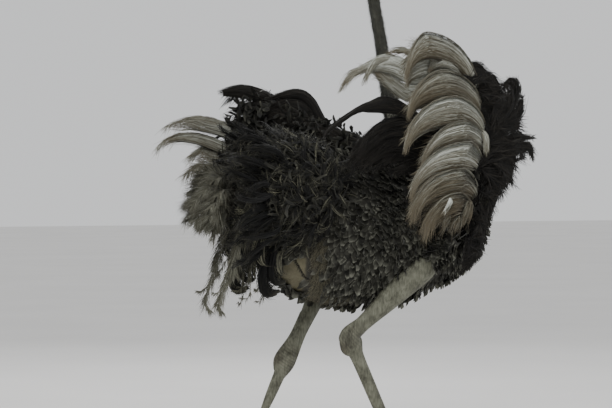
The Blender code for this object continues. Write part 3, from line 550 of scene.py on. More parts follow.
def locks(coat, roots, flow, normals, lengths, places, *, strands=10, rows=6, spread=0.016, strand=0.0045,
          curl=0.35, lift=0.3, tone=(0.0, 1.0)):
    """Many small tufts at once: each is a handful of strands that draw together at a curled tip."""
    count = len(roots)
    side = unit(np.cross(flow, normals))
    t = np.linspace(0, 1, rows)[None, None]
    each = (count, strands, 1)
    length = lengths[:, None, None] * draw(0.65, 1.1, each)
    bend = gauss(0, curl, (count, 1, 1)) + gauss(0, 0.12, each)
    rise = lift * draw(0.5, 1.4, (count, 1, 1))
    turn = draw(0, TURN, each)
    reach = (0.45 + 0.9 * t) * (1 - 0.85 * smoothstep(0.45, 1, t))
    reach = spread * np.sqrt(draw(0.1, 1, each)) * reach
    paths = (
        roots[:, None, None]
        + flow[:, None, None] * (length * (t - 0.18 * np.abs(bend) * t**2))[..., None]
        + side[:, None, None] * (length * bend * t**2 + reach * np.cos(turn))[..., None]
        + normals[:, None, None] * (length * rise * (t - 0.75 * t**2) + reach * np.sin(turn))[..., None]
    )
    outward = unit(normals[:, None, None] + side[:, None, None] * (np.cos(turn) * 0.6)[..., None])
    outward = np.broadcast_to(outward, paths.shape)
    widths = np.broadcast_to(strand * draw(0.6, 1.3, each) * taper(rows), paths.shape[:3])
    base = draw(*tone, (count, 1)) * 0.6 + draw(*tone, (count, strands)) * 0.4
    flat = (count * strands, rows)
    coat.add(
        ribbons(paths.reshape(*flat, 3), outward.reshape(*flat, 3), widths.reshape(flat)),
        base.ravel(),
        np.repeat(places, strands, axis=0),
    )


def shells(coat, roots, flow, normals, length, width, places, *, curl=0.25, tone=(0.0, 1.0)):
    """Short curved feathers, each cupped over the next and curled up at its rim."""
    count, rows, columns = len(roots), 6, 5
    size = draw(0.8, 1.2, (count, 1, 1))
    length = np.reshape(length, (-1, 1, 1)) * size
    width = np.reshape(width, (-1, 1, 1)) * size
    side = unit(np.cross(flow, normals))
    t = np.linspace(0, 1, rows)[None, :, None]
    a = np.linspace(-1, 1, columns)[None, None, :]
    wide = np.sqrt(np.sin(math.pi * (0.1 + 0.8 * t)))
    ragged = gauss(0, 0.05, (count, rows, columns)) * (t > 0.7)
    curl = curl * draw(0.3, 1.6, (count, 1, 1))
    skew = gauss(0, 0.18, (count, 1, 1))
    forward = length * (t - 0.2 * a**2 * t + ragged)
    rise = 0.002 + length * (0.14 * t + curl * t**4) - 0.16 * width * a**2
    grids = (
        roots[:, None, None]
        + flow[:, None, None] * forward[..., None]
        + side[:, None, None] * (width / 2 * a * wide + length * skew * t**2)[..., None]
        + normals[:, None, None] * rise[..., None]
    )
    coat.add(grids, draw(*tone, count), places)


def vanes(coat, roots, flow, normals, lengths, places, *, width=0.017, curl=0.5, lift=0.5, hook=0.6,
          tone=(0.0, 1.0)):
    """Loose curled feathers: each is a ragged creased vane that bends aside, rolls and hooks at its tip."""
    count, rows = len(roots), 7
    side = unit(np.cross(flow, normals))
    t = np.linspace(0, 1, rows)[None]
    bend = gauss(0, curl, (count, 1))
    hooked = hook * draw(0.2, 1.5, (count, 1))
    rise = lift * draw(0.5, 1.5, (count, 1))
    length = lengths[:, None]
    middle = (
        roots[:, None]
        + flow[:, None] * (length * (t - 0.25 * np.abs(bend) * t**2 - 0.35 * hooked * t**4))[..., None]
        + side[:, None] * (length * bend * t**2)[..., None]
        + normals[:, None] * (length * (rise * (t - 0.6 * t**2) + 0.35 * hooked * t**3))[..., None]
    )
    ahead = unit(np.gradient(middle, axis=1))
    across = unit(np.cross(ahead, normals[:, None]))
    roll = gauss(0, 0.7, (count, 1)) * (0.3 + t)
    across = across * np.cos(roll)[..., None] + np.cross(across, ahead) * np.sin(roll)[..., None]
    up = np.cross(across, ahead)
    half = width / 2 * draw(0.6, 1.4, (count, 1)) * np.sqrt(np.sin(math.pi * (0.06 + 0.88 * t)))
    half = (half * (1 + gauss(0, 0.16, (count, rows))))[..., None, None]
    a = np.array((-1.0, 0.0, 1.0))[:, None]
    grids = middle[:, :, None] + across[:, :, None] * half * a - up[:, :, None] * half * 0.35 * a**2
    coat.add(grids, draw(*tone, count), places)


def bristles(coat, roots, flow, normals, lengths, places, *, lift=0.35, width=0.0013, tone=(0.0, 1.0)):
    """Single stiff hair-like feathers."""
    count = len(roots)
    t = np.linspace(0, 1, 3)[None]
    rise = lift * draw(0.5, 1.6, (count, 1))
    stray = gauss(0, 0.22, (count, 1, 3))
    lean = unit(flow + normals * rise)[:, None] + stray * t[..., None]
    paths = roots[:, None] + lean * (lengths[:, None] * t)[..., None]
    outward = np.broadcast_to(normals[:, None] + gauss(0, 0.5, (count, 1, 3)), paths.shape)
    widths = width * np.broadcast_to(np.array((1.0, 0.8, 0.15)), (count, 3))
    coat.add(ribbons(paths, outward, widths), draw(*tone, count), places)


# ---------------------------------------------------------------- the skin
def tube(bm, centres, across, up, half, above, below, sides, belly=0.0):
    """Adds a closed tube of oval rings to a bmesh."""
    across, up = (np.broadcast_to(way, centres.shape) for way in (across, up))
    turn = np.linspace(0, TURN, sides, endpoint=False)
    rise, wide = np.cos(turn), np.sin(turn)
    loops = []
    for k, centre in enumerate(centres):
        reach = np.where(rise > 0, above[k], below[k]) * rise
        ring = centre + across[k] * (wide * half[k] * (1 - belly * rise))[:, None] + up[k] * reach[:, None]
        loops.append([bm.verts.new(p) for p in ring])
    for one, two in zip(loops, loops[1:]):
        for k in range(sides):
            bm.faces.new((one[k], one[(k + 1) % sides], two[(k + 1) % sides], two[k]))
    bm.faces.new(loops[0])
    bm.faces.new(list(reversed(loops[-1])))


def body_tube(bm, table, depth, offset=0.0, belly=0.0, rows=40, sides=40):
    """A trunk-like form, its surface drawn in by a depth."""
    x, low, high, half = curve(table, np.linspace(0, 1, rows)).T
    rise = np.maximum((high - low) / 2 - depth, 0.01)
    centres = np.stack((x, np.full(rows, offset), (low + high) / 2), -1)
    tube(bm, centres, LEFTWARD, (0.0, 0.0, 1.0), np.maximum(half - depth, 0.01), rise, rise, sides, belly)


def path_tube(bm, path, half, ratio=1.0, facing=(1.0, 0.0, 0.2), rows=24, sides=24):
    """A limb of given half widths along a path."""
    shares = np.linspace(0, 1, rows)
    here, _, across, up = frame_along(path, shares, facing)
    size = curve(np.asarray(half, float)[:, None], shares)[:, 0]
    tube(bm, here, across, up, size, size * ratio, size * ratio, sides)


def fused(bm, voxel, smoothing):
    """One closed skin over overlapping forms, as points and square faces."""
    bmesh.ops.recalc_face_normals(bm, faces=bm.faces)
    mesh = bpy.data.meshes.new("form")
    bm.to_mesh(mesh)
    bm.free()
    form = bpy.data.objects.new("form", mesh)
    bpy.context.scene.collection.objects.link(form)
    remesh = form.modifiers.new("remesh", "REMESH")
    remesh.mode = "VOXEL"
    remesh.voxel_size = voxel
    smooth = form.modifiers.new("smooth", "SMOOTH")
    smooth.iterations = smoothing
    smooth.factor = 0.5
    result = form.evaluated_get(bpy.context.evaluated_depsgraph_get()).to_mesh()
    points = np.empty(len(result.vertices) * 3, np.float32)
    result.vertices.foreach_get("co", points)
    corners = np.empty(len(result.loops), np.int32)
    result.loops.foreach_get("vertex_index", corners)
    starts = np.empty(len(result.polygons), np.int32)
    result.polygons.foreach_get("loop_start", starts)
    sizes = np.diff(np.append(starts, len(corners)))
    faces = corners[starts[sizes == 4][:, None] + np.arange(4)]
    assert (sizes == 4).all(), "a voxel remesh gives square faces"
    bpy.data.objects.remove(form, do_unlink=True)
    bpy.data.meshes.remove(mesh)
    return points.reshape(-1, 3).astype(float), faces


def point_normals(points, faces):
    """The surface's outward direction at each point."""
    one, two, three, four = (points[faces[:, k]] for k in range(4))
    face = np.cross(three - one, four - two)
    total = np.zeros_like(points)
    for k in range(4):
        np.add.at(total, faces[:, k], face)
    return unit(total)


def neck_frame(shares):
    here, ahead, across, up = frame_along(NECK_PATH, shares, (-1.0, 0.0, 0.15))
    half = curve(NECK_HALF_WIDTHS[:, None], shares)[..., 0]
    return here, ahead, across, up, half


def body_skin():
    """Trunk, tail root, neck and the flesh of both wings in one skin."""
    bm = bmesh.new()
    body_tube(bm, TRUNK, COAT_DEPTH, belly=BELLY)
    body_tube(bm, THIGH, COAT_DEPTH, THIGH_OFFSET)
    here, _, across, up, half = neck_frame(np.linspace(0, 0.97, 60))
    depth = np.interp(np.linspace(0, 1, 60), (0, 0.25, 0.45, 1), (0.03, 0.02, 0.008, 0.007))
    tube(bm, here, across, up, half - depth, half - depth, half - depth, 24)
    path_tube(bm, ARM_RIGHT, ARM_GIRTHS, 0.8)
    path_tube(bm, ARM_LEFT, ARM_GIRTHS, 0.8)
    path_tube(bm, TAIL_ROOT + np.array(((0.15, 0, 0), (0.05, 0, 0), (-0.06, 0, 0))), (0.04, 0.06, 0.035))
    return fused(bm, BODY_VOXEL, 6)


# Half widths of the leg's two bones, fore-and-aft and sideways, at shares of each bone's length
GIRTH = {"right": 1.0, "left": 0.9}  # the drawn-back leg's calf is slack
DRUMSTICK = np.array((
    (-0.3, 0.04, 0.034), (-0.08, 0.045, 0.038), (0.03, 0.055, 0.048), (0.15, 0.058, 0.052),
    (0.3, 0.054, 0.047), (0.56, 0.044, 0.039), (0.78, 0.034, 0.031), (0.96, 0.032, 0.03),
))
SHANK = np.array((
    (-0.045, 0.034, 0.031), (-0.01, 0.043, 0.036), (0.05, 0.041, 0.033), (0.12, 0.033, 0.026),
    (0.22, 0.028, 0.0235), (0.45, 0.0265, 0.022), (0.75, 0.025, 0.022), (0.93, 0.029, 0.027),
    (1.02, 0.027, 0.026),
))


def bone_tube(bm, start, end, table, girth=1.0, rows=40):
    """One leg bone's flesh."""
    share, fore, side = curve(table, np.linspace(0, 1, rows)).T
    slack = girth - 2.2 * (1 - girth) * smoothstep(0.25, 0.65, share) * smoothstep(0.98, 0.9, share)
    fore, side = fore * slack, side * slack
    _, across, front = bone_frame(start, end)
    tube(bm, start + (end - start) * share[:, None], across, front, side, fore, fore, 28)


def toe_drops(start, end):
    """Points from the ball to a toe's tip, the last third lying on the floor."""
    return np.array([
        (*(start + (end - start) * k / 3)[:2], end[2] + (start[2] - end[2]) * drop)
        for k, drop in enumerate((1.0, 0.5, 0.09, 0.0))
    ])


def toe_tips(side):
    """Where each toe starts and ends."""
    sign, ball = SIDES[side], LEGS[side][2]
    reach = BIG_TOE - 0.15 * (ball[2] - 0.05)
    big = (ball + (-0.004, 0, -0.008), np.array((ball[0] + reach, ball[1] - sign * 0.004, 0.013)))
    start = ball + (-0.002, sign * 0.012, -0.01)
    out = np.array((math.cos(TOE_SPLAY), sign * math.sin(TOE_SPLAY), 0)) * SMALL_TOE
    return big, (start, np.array((*(start + out)[:2], 0.009)))


def toe_tube(bm, start, end, widths, heights, rows=30):
    """A toe with its joints' pads."""
    shares = np.linspace(0, 1, rows)
    here = curve(toe_drops(start, end), shares)
    pads = 1 + 0.07 * np.sin(shares * 3.2 * 2 * math.pi)
    wide, high = (curve(np.asarray(sizes)[:, None], shares)[:, 0] * pads for sizes in (widths, heights))
    tube(bm, here, *toe_frame(here), wide, high, high, 24)


def leg_skin(side):
    """Drumstick, shank and toes in one skin, flat where the toes' pads meet the floor."""
    knee, ankle, ball = LEGS[side]
    bm = bmesh.new()
    girth = GIRTH[side]
    slim, joint = 3 * girth - 2, 1.5 * girth - 0.5
    bone_tube(bm, knee, ankle, DRUMSTICK, girth)
    bone_tube(bm, ankle, ball, SHANK, joint)
    bone, shank = ankle - knee, ball - ankle
    _, across, front = bone_frame(knee, ankle)
    shin = bone_frame(ankle, ball)[2]
    # The calf, the tendon down to the heel, and the one that bridges the front of the ankle
    calf = knee + bone * np.array((0.02, 0.26, 0.5, 0.74))[:, None]
    calf = calf - front * (np.array((0.004, 0.024, 0.026, 0.016)) * (1, girth, slim, slim))[:, None]
    path_tube(bm, calf, np.array((0.034, 0.042, 0.033, 0.018)) * (1, girth, slim, slim), 0.8, rows=30)
    path_tube(bm, np.array((
        knee + bone * 0.6 - front * 0.033 * slim, knee + bone * 0.82 - front * 0.03 * slim,
        ankle - (front * 0.034 + shin * 0.004) * joint, ankle + shank * 0.07 - shin * 0.037 * joint,
        ankle + shank * 0.14 - shin * 0.027 * joint,
    )), (0.011, 0.011, 0.015, 0.016, 0.009), rows=30, sides=16)
    path_tube(bm, np.array((
        knee + bone * 0.5 + front * 0.038 * slim, knee + bone * 0.76 + front * 0.032 * slim,
        ankle - bone * 0.03 + front * 0.038 * joint, ankle + shank * 0.06 + shin * 0.039 * joint,
        ankle + shank * 0.16 + shin * 0.024 * joint,
    )), (0.01, 0.0095, 0.01, 0.01, 0.008), rows=30, sides=14)
    for sign in (-1, 1):
        knob = ankle + across * sign * 0.02 + front * 0.004
        line = np.array((knob + front * 0.022, knob, knob - front * 0.022))
        path_tube(bm, line, (0.01, 0.02, 0.01), rows=10)
    big, small = toe_tips(side)
    toe_tube(bm, *big, (0.026, 0.03, 0.029, 0.028, 0.03, 0.028, 0.019),
             (0.028, 0.032, 0.029, 0.027, 0.028, 0.024, 0.018))
    toe_tube(bm, *small, (0.018, 0.021, 0.019, 0.019, 0.017, 0.01), (0.02, 0.022, 0.019, 0.018, 0.016, 0.012))
    points, faces = fused(bm, LEG_VOXEL, 5)
    points[:, 2] = np.maximum(points[:, 2], 0.0)
    return points, faces


# The skull at distances from the head's base: half width, height above and depth below
SKULL = np.array((
    (-0.028, 0.012, 0.016, 0.014), (-0.02, 0.024, 0.028, 0.026), (0.0, 0.0355, 0.038, 0.035),
    (0.028, 0.0395, 0.0435, 0.036), (0.056, 0.0375, 0.0425, 0.031), (0.08, 0.0325, 0.036, 0.0245),
    (0.098, 0.0305, 0.028, 0.019), (0.108, 0.0295, 0.024, 0.0165), (0.1135, 0.0275, 0.021, 0.014),
    (0.1165, 0.018, 0.013, 0.009),
))


def head_tube(bm, table, rows=40, sides=32):
    forward, half, above, below = curve(table, np.linspace(0, 1, rows)).T
    tube(bm, HEAD_BASE + HEAD_AHEAD * forward[:, None], LEFTWARD, HEAD_UP, half, above, below, sides)


def ball_form(bm, centre, radii, turn=0.0):
    """Adds an ellipsoid, its first radius along the head, the others across and up."""
    made = bmesh.ops.create_icosphere(bm, subdivisions=3, radius=1.0)["verts"]
    for vertex in made:
        a, b, c = vertex.co.x * radii[0], vertex.co.y * radii[1], vertex.co.z * radii[2]
        a, c = a * math.cos(turn) - c * math.sin(turn), a * math.sin(turn) + c * math.cos(turn)
        vertex.co = Vector(centre + HEAD_AHEAD * a + LEFTWARD * b + HEAD_UP * c)


def head_skin():
    """The head and the top of the neck: brows, sockets, cheeks, lids, ears and the corners of the mouth."""
    bm = bmesh.new()
    head_tube(bm, SKULL)
    here, _, across, up, half = neck_frame(np.linspace(0.8, 1.0, 30))
    tube(bm, here, across, up, half - 0.005, half - 0.005, half - 0.005, 24)
    ball_form(bm, head_place(0.012, 0, -0.012), (0.04, 0.032, 0.03), -0.3)
    for sign in (-1, 1):
        ball_form(bm, head_place(0.048, sign * 0.0245, 0.0315), (0.04, 0.0125, 0.008), -0.1)
        ball_form(bm, head_place(0.058, sign * 0.0225, -0.018), (0.04, 0.012, 0.009), 0.12)
        ball_form(bm, head_place(0.094, sign * 0.0235, -0.003), (0.02, 0.008, 0.006), 0.05)
        ball_form(bm, head_place(0.006, sign * 0.0315, -0.006), (0.013, 0.0075, 0.011))
    points, faces = fused(bm, HEAD_VOXEL, 8)
    normals = point_normals(points, faces)
    dark = np.zeros(len(points))
    for sign in (-1, 1):
        centre = eye_centre(sign)
        away = distance(points, centre)
        outer = (points - centre) @ LEFTWARD * sign > 0.002
        forward = (points - centre) @ HEAD_AHEAD
        rise = (points - centre) @ HEAD_UP + 0.12 * forward
        long, high = np.where(forward > 0, 0.0172, 0.016), np.where(rise > 0, 0.0118, 0.0132)
        opening = np.hypot(forward / long, rise / high)
        # The lids wrap the eyeball and stop at an almond opening, where the skin turns in behind it.
        lid = outer & (away < EYE_RADIUS * 1.45)
        thick = 0.0016 + 0.0022 * smoothstep(1.9, 1.15, opening)
        thick = thick - 0.001 * smoothstep(0.14, 0.04, np.abs(opening - 1.42))
        wrapped = centre + unit(points - centre) * (EYE_RADIUS + thick)[:, None]
        weight = (smoothstep(EYE_RADIUS * 1.45, EYE_RADIUS * 1.12, away) * lid)[:, None]
        points = points * (1 - weight) + wrapped * weight
        inside = (outer & (opening < 1.0))[:, None]
        points = np.where(inside, centre + unit(points - centre) * (EYE_RADIUS - 0.0045), points)
        # Darker at the rim of the opening, where the lids turn in: painted shade.
        dark = np.maximum(dark, 0.8 * smoothstep(1.16, 1.04, opening) * outer)
        near = distance(points, ear_place(sign))
        points = points - normals * (0.007 * smoothstep(0.0075, 0.002, near))[:, None]
        # Darker in the ear's hollow: painted shade.
        dark = np.maximum(dark, smoothstep(0.007, 0.003, near))
        # The mouth's corner reaches back under the eye.
        ahead, up = (points - HEAD_BASE) @ HEAD_AHEAD, (points - HEAD_BASE) @ HEAD_UP
        fold = np.abs(up + 0.0008 - 0.09 * np.minimum(ahead - 0.105, 0.0)) + 0.1 * np.maximum(0.07 - ahead, 0)
        cheek = (np.abs(normals[:, 1]) > 0.3) * (ahead > 0.06) * (points[:, 1] * sign > 0)
        gape = smoothstep(0.0032, 0.0006, fold) * cheek
        points = points - normals * (0.0022 * gape)[:, None]
        # Darker along the gape: painted shade in the mouth's corner.
        dark = np.maximum(dark, gape)
    return points, faces, dark


def scutes(points, start, end, pitch, width):
    """How near each point is to a crease between the big scales down the front of a bone, 0 to 1."""
    line, _, front = bone_frame(start, end)
    rest = points - start
    height = rest @ line
    beyond = (height < 0.03) | (height > np.linalg.norm(end - start) + 0.01)
    ahead = (rest - height[:, None] * line) @ front
    side = np.linalg.norm(rest - height[:, None] * line - ahead[:, None] * front, axis=1)
    facing = smoothstep(0.0, 0.012, ahead) * smoothstep(width, width * 0.7, side)
    return np.where(beyond, 0, facing * smoothstep(0.8, 0.97, ripple(height, pitch)))


def make_skin(material):
    """Joins the skins of body, legs and head, and marks where each is bare, worn or creased."""
    parts = [body_skin(), head_skin(), leg_skin("right"), leg_skin("left")]
    points = np.concatenate([part[0] for part in parts])
    ends = np.cumsum([0] + [len(part[0]) for part in parts])
    faces = np.concatenate([part[1] + end for part, end in zip(parts, ends)])
    index = np.arange(len(points))
    body = index < ends[1]
    head = slice(ends[1], ends[2])
    normals = point_normals(points, faces)
    wear_and_rim_highlight, crease, head_crease = np.zeros((3, len(points)))
    head_crease[head] = parts[1][2]
    for side in SIDES:
        knee, ankle, ball = LEGS[side]
        heel = ankle + (ball - ankle) * 0.05 - bone_frame(ankle, ball)[2] * 0.05
        spots = (heel, 0.75, 0.055, 0.015), (ball, 0.7, 0.06, 0.02), (ankle, 0.25, 0.085, 0.035)
        for spot, most, far, near in spots:
            wear_and_rim_highlight = np.maximum(wear_and_rim_highlight, most * smoothstep(far, near, distance(points, spot)))
        fold = ripple((points - ankle) @ unit(ankle - knee) + 0.35 * points[:, 1], 0.0115)
        fold = smoothstep(0.07, 0.04, distance(points, ankle)) * smoothstep(0.55, 0.95, fold)
        crease = np.maximum(crease, 0.65 * fold * ~body)
        crease = np.maximum(crease, scutes(points, ankle, ball, 0.0135, 0.025) * ~body)
        for start, end in toe_tips(side):
            along = (points - start) @ unit(end - start)
            top = smoothstep(0.2, 0.6, normals[:, 2]) * (points[:, 2] < ball[2] + 0.02)
            near = np.linalg.norm(np.cross(points - start, unit(end - start)), axis=1) < 0.06
            fold = top * near * (along > 0) * smoothstep(0.75, 0.95, ripple(along, 0.009))
            crease = np.maximum(crease, fold * ~body)
    points = points - normals * (crease * 0.0011)[:, None]
    bare = np.maximum(bare_flank(points), 0.5 * under_edge(points)) * body
    # Skin under the down and feathers, and the drumsticks above the knees, is marked for painted shade under
    # the coat.
    painted_shade_under_coat = np.where(index < ends[2], 0.6 * smoothstep(2.3, 2.2, points[:, 2]), 0.0)
    painted_shade_under_coat = np.maximum(painted_shade_under_coat, body * smoothstep(1.5, 1.42, points[:, 2]))
    for knee, ankle, _ in LEGS.values():
        along = (points - knee) @ unit(ankle - knee)
        painted_shade_under_coat = np.maximum(painted_shade_under_coat, smoothstep(0.01, -0.01, along) * (distance(points, knee) < 0.25))
    # The two folds and the head's hollows join the creases, all drawn darker as painted shade.
    crease = np.maximum(np.maximum(crease, fold_lines(points) * body), head_crease)
    skin = new_mesh("skin", points, faces, material)
    for title, values in (("wear_and_rim_highlight", wear_and_rim_highlight), ("crease", crease), ("painted_shade_under_coat", painted_shade_under_coat), ("bare_flank", bare)):
        store(skin.data, title, values)
    settle(skin, "bare_skin", "trunk", "neck_lower", "neck_upper", "head", "drumstick_right",
           "drumstick_left", "shank_right", "shank_left", "foot_right", "foot_left")
    print(f"skin: {2 * len(faces)} triangles")
    trees = (BVHTree.FromPolygons(points[ends[k]:ends[k + 1]].tolist(), parts[k][1].tolist()) for k in (0, 1))
    return *trees, points[head]


# The folds behind and before the bare patch under the vent: height and forward place of each
FOLDS = (
    ((0.72, 0.75, 0.86, 0.95), (-0.335, -0.41, -0.45, -0.47)),
    ((0.74, 0.84, 0.93, 1.0), (-0.335, -0.36, -0.37, -0.375)),
)


def bare_flank(points):
    """1 on the bare skin between its two folds, fading to 0 about it."""
    x, y, z = points.T
    behind, before = (x - np.interp(z, *fold) for fold in FOLDS)
    between = smoothstep(-0.004, 0.006, behind) * smoothstep(0.004, -0.006, before)
    return between * smoothstep(0.9, 0.88, z) * (np.abs(y) > 0.03)


def fold_lines(points):
    """1 in the two folds."""
    x, y, z = points.T
    near = np.minimum(*(np.abs(x - np.interp(z, *fold)) for fold in FOLDS))
    return smoothstep(0.009, 0.004, near) * (z < 0.94) * (np.abs(y) > 0.03)


def under_edge(points):
    """1 on the thinly feathered lower edge of the belly, before the patch."""
    x, _, z = points.T
    return smoothstep(0.74, 0.718, z) * smoothstep(-0.1, -0.16, x) * smoothstep(-0.36, -0.33, x)


def hairy_flank(points):
    """1 where the flank before the patch has hair-like feathers in place of shells."""
    x, y, z = points.T
    ahead = x - np.interp(z, *FOLDS[1])
    before = smoothstep(-0.085, -0.07, -ahead) * smoothstep(0.006, 0.016, ahead) * smoothstep(1.0, 0.94, z)
    return np.maximum(before * (np.abs(y) > 0.03), 0.9 * under_edge(points))


def snap(tree, places):
    """The nearest places on the skin, and its outward directions there."""
    found = [tree.find_nearest(place) for place in places.tolist()]
    return np.array([hit[0] for hit in found]), np.array([hit[1] for hit in found])


def lie(normals, wish, stray=0.0):
    """A wished direction laid along the surface, with each one led astray at random."""
    wish = np.broadcast_to(wish, normals.shape)
    if stray:
        wish = wish + gauss(0, stray, normals.shape)
    return unit(wish - normals * np.sum(normals * wish, axis=1, keepdims=True))


def pick(chosen, *arrays):
    return (values[chosen] for values in arrays)


def body_grid(table, spacing, offset=0.0, belly=0.0, low=0.0, high=1.0, jitter=0.3):
    """Staggered places all over a trunk-like form, with their shares along and around it."""
    fine = np.linspace(low, high, 200)
    x = curve(table, fine)[:, 0]
    lengths = np.concatenate(([0], np.cumsum(np.hypot(np.diff(x), np.diff(curve(table, fine)[:, 3])))))
    rows = int(lengths[-1] / spacing)
    shares = np.interp(np.linspace(0, lengths[-1], rows), lengths, fine)
    places, along, around = [], [], []
    for k, share in enumerate(shares):
        _, bottom, top, half = curve(table, np.array([share]))[0]
        count = max(int(math.pi * (half + (top - bottom) / 2) / spacing), 4)
        turn = (np.arange(count) + 0.5 * (k % 2) + draw(-jitter, jitter, count)) / count * 2 * math.pi
        share = share + draw(-jitter, jitter, count) * (high - low) / rows
        x, bottom, top, half = curve(table, share).T
        rise = np.cos(turn)
        wide = np.sin(turn) * half * (1 - belly * rise)
        places.append(np.stack((x, offset + wide, (top + bottom) / 2 + rise * (top - bottom) / 2), -1))
        along.append(share)
        around.append(turn / TURN % 1)
    return np.concatenate(places), np.concatenate(along), np.concatenate(around)


# ---------------------------------------------------------------- the feathers, region by region
def flank_coat(tree, material, hairs):
    """The scaly short feathers of flank, belly, breast and back."""
    coat = Coat()
    for table, offset, belly in ((TRUNK, 0.0, BELLY), (THIGH, THIGH_OFFSET, 0.0)):
        places, along, around = body_grid(table, 0.0235, offset, belly)
        roots, normals = snap(tree, places)
        x, y, z = roots.T
        keep = (places[:, 1] < THIGH_OFFSET) | (offset == 0.0)
        keep &= (bare_flank(roots) < 0.4) & (fold_lines(roots) < 0.5)
        keep &= hairy_flank(roots) < draw(0.3, 1.1, len(roots))
        keep &= distance(roots, DRUMSTICK_GAP) > 0.075
        keep &= ~((z < 0.74) & (np.abs(y) < 0.1) & (x < 0.1) & (rng.random(len(roots)) < 0.4))
        roots, normals, along, around = pick(keep, roots, normals, along, around)
        back = smoothstep(1.15, 1.28, roots[:, 2])[:, None]
        flow = lie(normals, np.array((-0.62, 0, -0.78)) * (1 - back) + (-1.0, 0, 0) * back, 0.22)
        breast = smoothstep(0.16, 0.34, roots[:, 0])
        tone = np.clip(draw(0.15, 1.0, len(roots)) * (1 - 0.75 * breast), 0, 1)
        for low in (0.0, 0.34, 0.67):
            chosen = (tone >= low) & (tone < low + 0.34)
            size = 1 - 0.3 * breast[chosen]
            shells(coat, *pick(chosen, roots, flow, normals), 0.047 * size, 0.032 * size,
                   on_map("trunk", along[chosen], around[chosen]), tone=(low, low + 0.3), curl=0.42)
    # A closer row over the breast, down to its tip
    places, along, around = body_grid(TRUNK, 0.017, belly=BELLY, low=0.7)
    tip = np.stack((np.full(60, 0.5), gauss(0, 0.035, 60), gauss(1.03, 0.035, 60)), -1)
    along, around = np.append(along, np.ones(60)), np.append(around, rng.random(60))
    roots, normals = snap(tree, np.concatenate((places, tip)))
    flow = lie(normals, (-0.45, 0, -0.8), 0.25)
    shells(coat, roots + normals * 0.003, flow, normals, 0.034, 0.021, on_map("trunk", along, around),
           curl=0.4, tone=(0.0, 0.35))
    coat.make("flank_feathers", material, "flank_feathers")
    down = flank_hairs(tree)
    knee_coat(material)
    down.make("flank_down", hairs, "neck_down")


def flank_hairs(tree):
    """Hair-like feathers before the bare patch, and dark tufts in its two folds that paint the shade in them.
    """
    coat = Coat()
    places, along, around = body_grid(TRUNK, 0.003, belly=BELLY, low=0.05, high=0.48)
    keep = hairy_flank(places) > draw(0.2, 0.9, len(places))
    roots, normals = snap(tree, places[keep])
    flow = lie(normals, (-0.35, 0, -0.9), 0.22)
    bristles(coat, roots, flow, normals, draw(0.016, 0.034, len(roots)),
             on_map("trunk", along[keep], around[keep]), lift=0.25, width=0.0015)
    # Near-black bristles along the two folds: painted shade in the folds.
    count = FOLD_HAIRS
    for line in FOLDS:
        for side in (-1, 1):
            height = draw(line[0][0] + 0.01, 0.93, count)
            x = np.interp(height, *line) + gauss(0, 0.0022, count)
            roots, normals = snap(tree, np.stack((x, np.full(count, side * 0.2), height), -1))
            flow = lie(normals, (-0.1, 0, -1.0), 0.12)
            bristles(coat, roots, flow, normals, draw(0.01, 0.02, count),
                     on_map("trunk", height - 0.5, 0.3 + 0.1 * side), lift=0.15, width=0.0022,
                     tone=(-0.4, 0.05))
    return coat


def knee_coat(material):
    """The short feathers under which the knees go into the flank."""
    coat = Coat()
    for knee, ankle, _ in LEGS.values():
        ahead, across, front = bone_frame(knee, ankle)
        share, turn = draw(-0.29, -0.045, KNEE_SCALES), draw(0, TURN, KNEE_SCALES)
        share = share - 0.07 * smoothstep(0.2, 0.8, np.cos(turn))
        _, fore, wide = curve(DRUMSTICK, np.interp(share, (-0.3, 0.15), (0.0, 3 / 7))).T
        normals = spokes(across, front, turn)
        size = np.where(np.abs(np.sin(turn)) > 0.7, wide, fore) - 0.004
        roots = knee + (ankle - knee) * share[:, None] + normals * size[:, None]
        flow = lie(normals, ahead * 0.5 + (-0.45, 0, -0.5), 0.2)
        shells(coat, roots, flow, normals, 0.042, 0.029, on_map("legs", share + 0.3, turn / TURN), curl=0.35,
               tone=(0.0, 0.6))
    coat.make("knee_feathers", material, "flank_feathers")


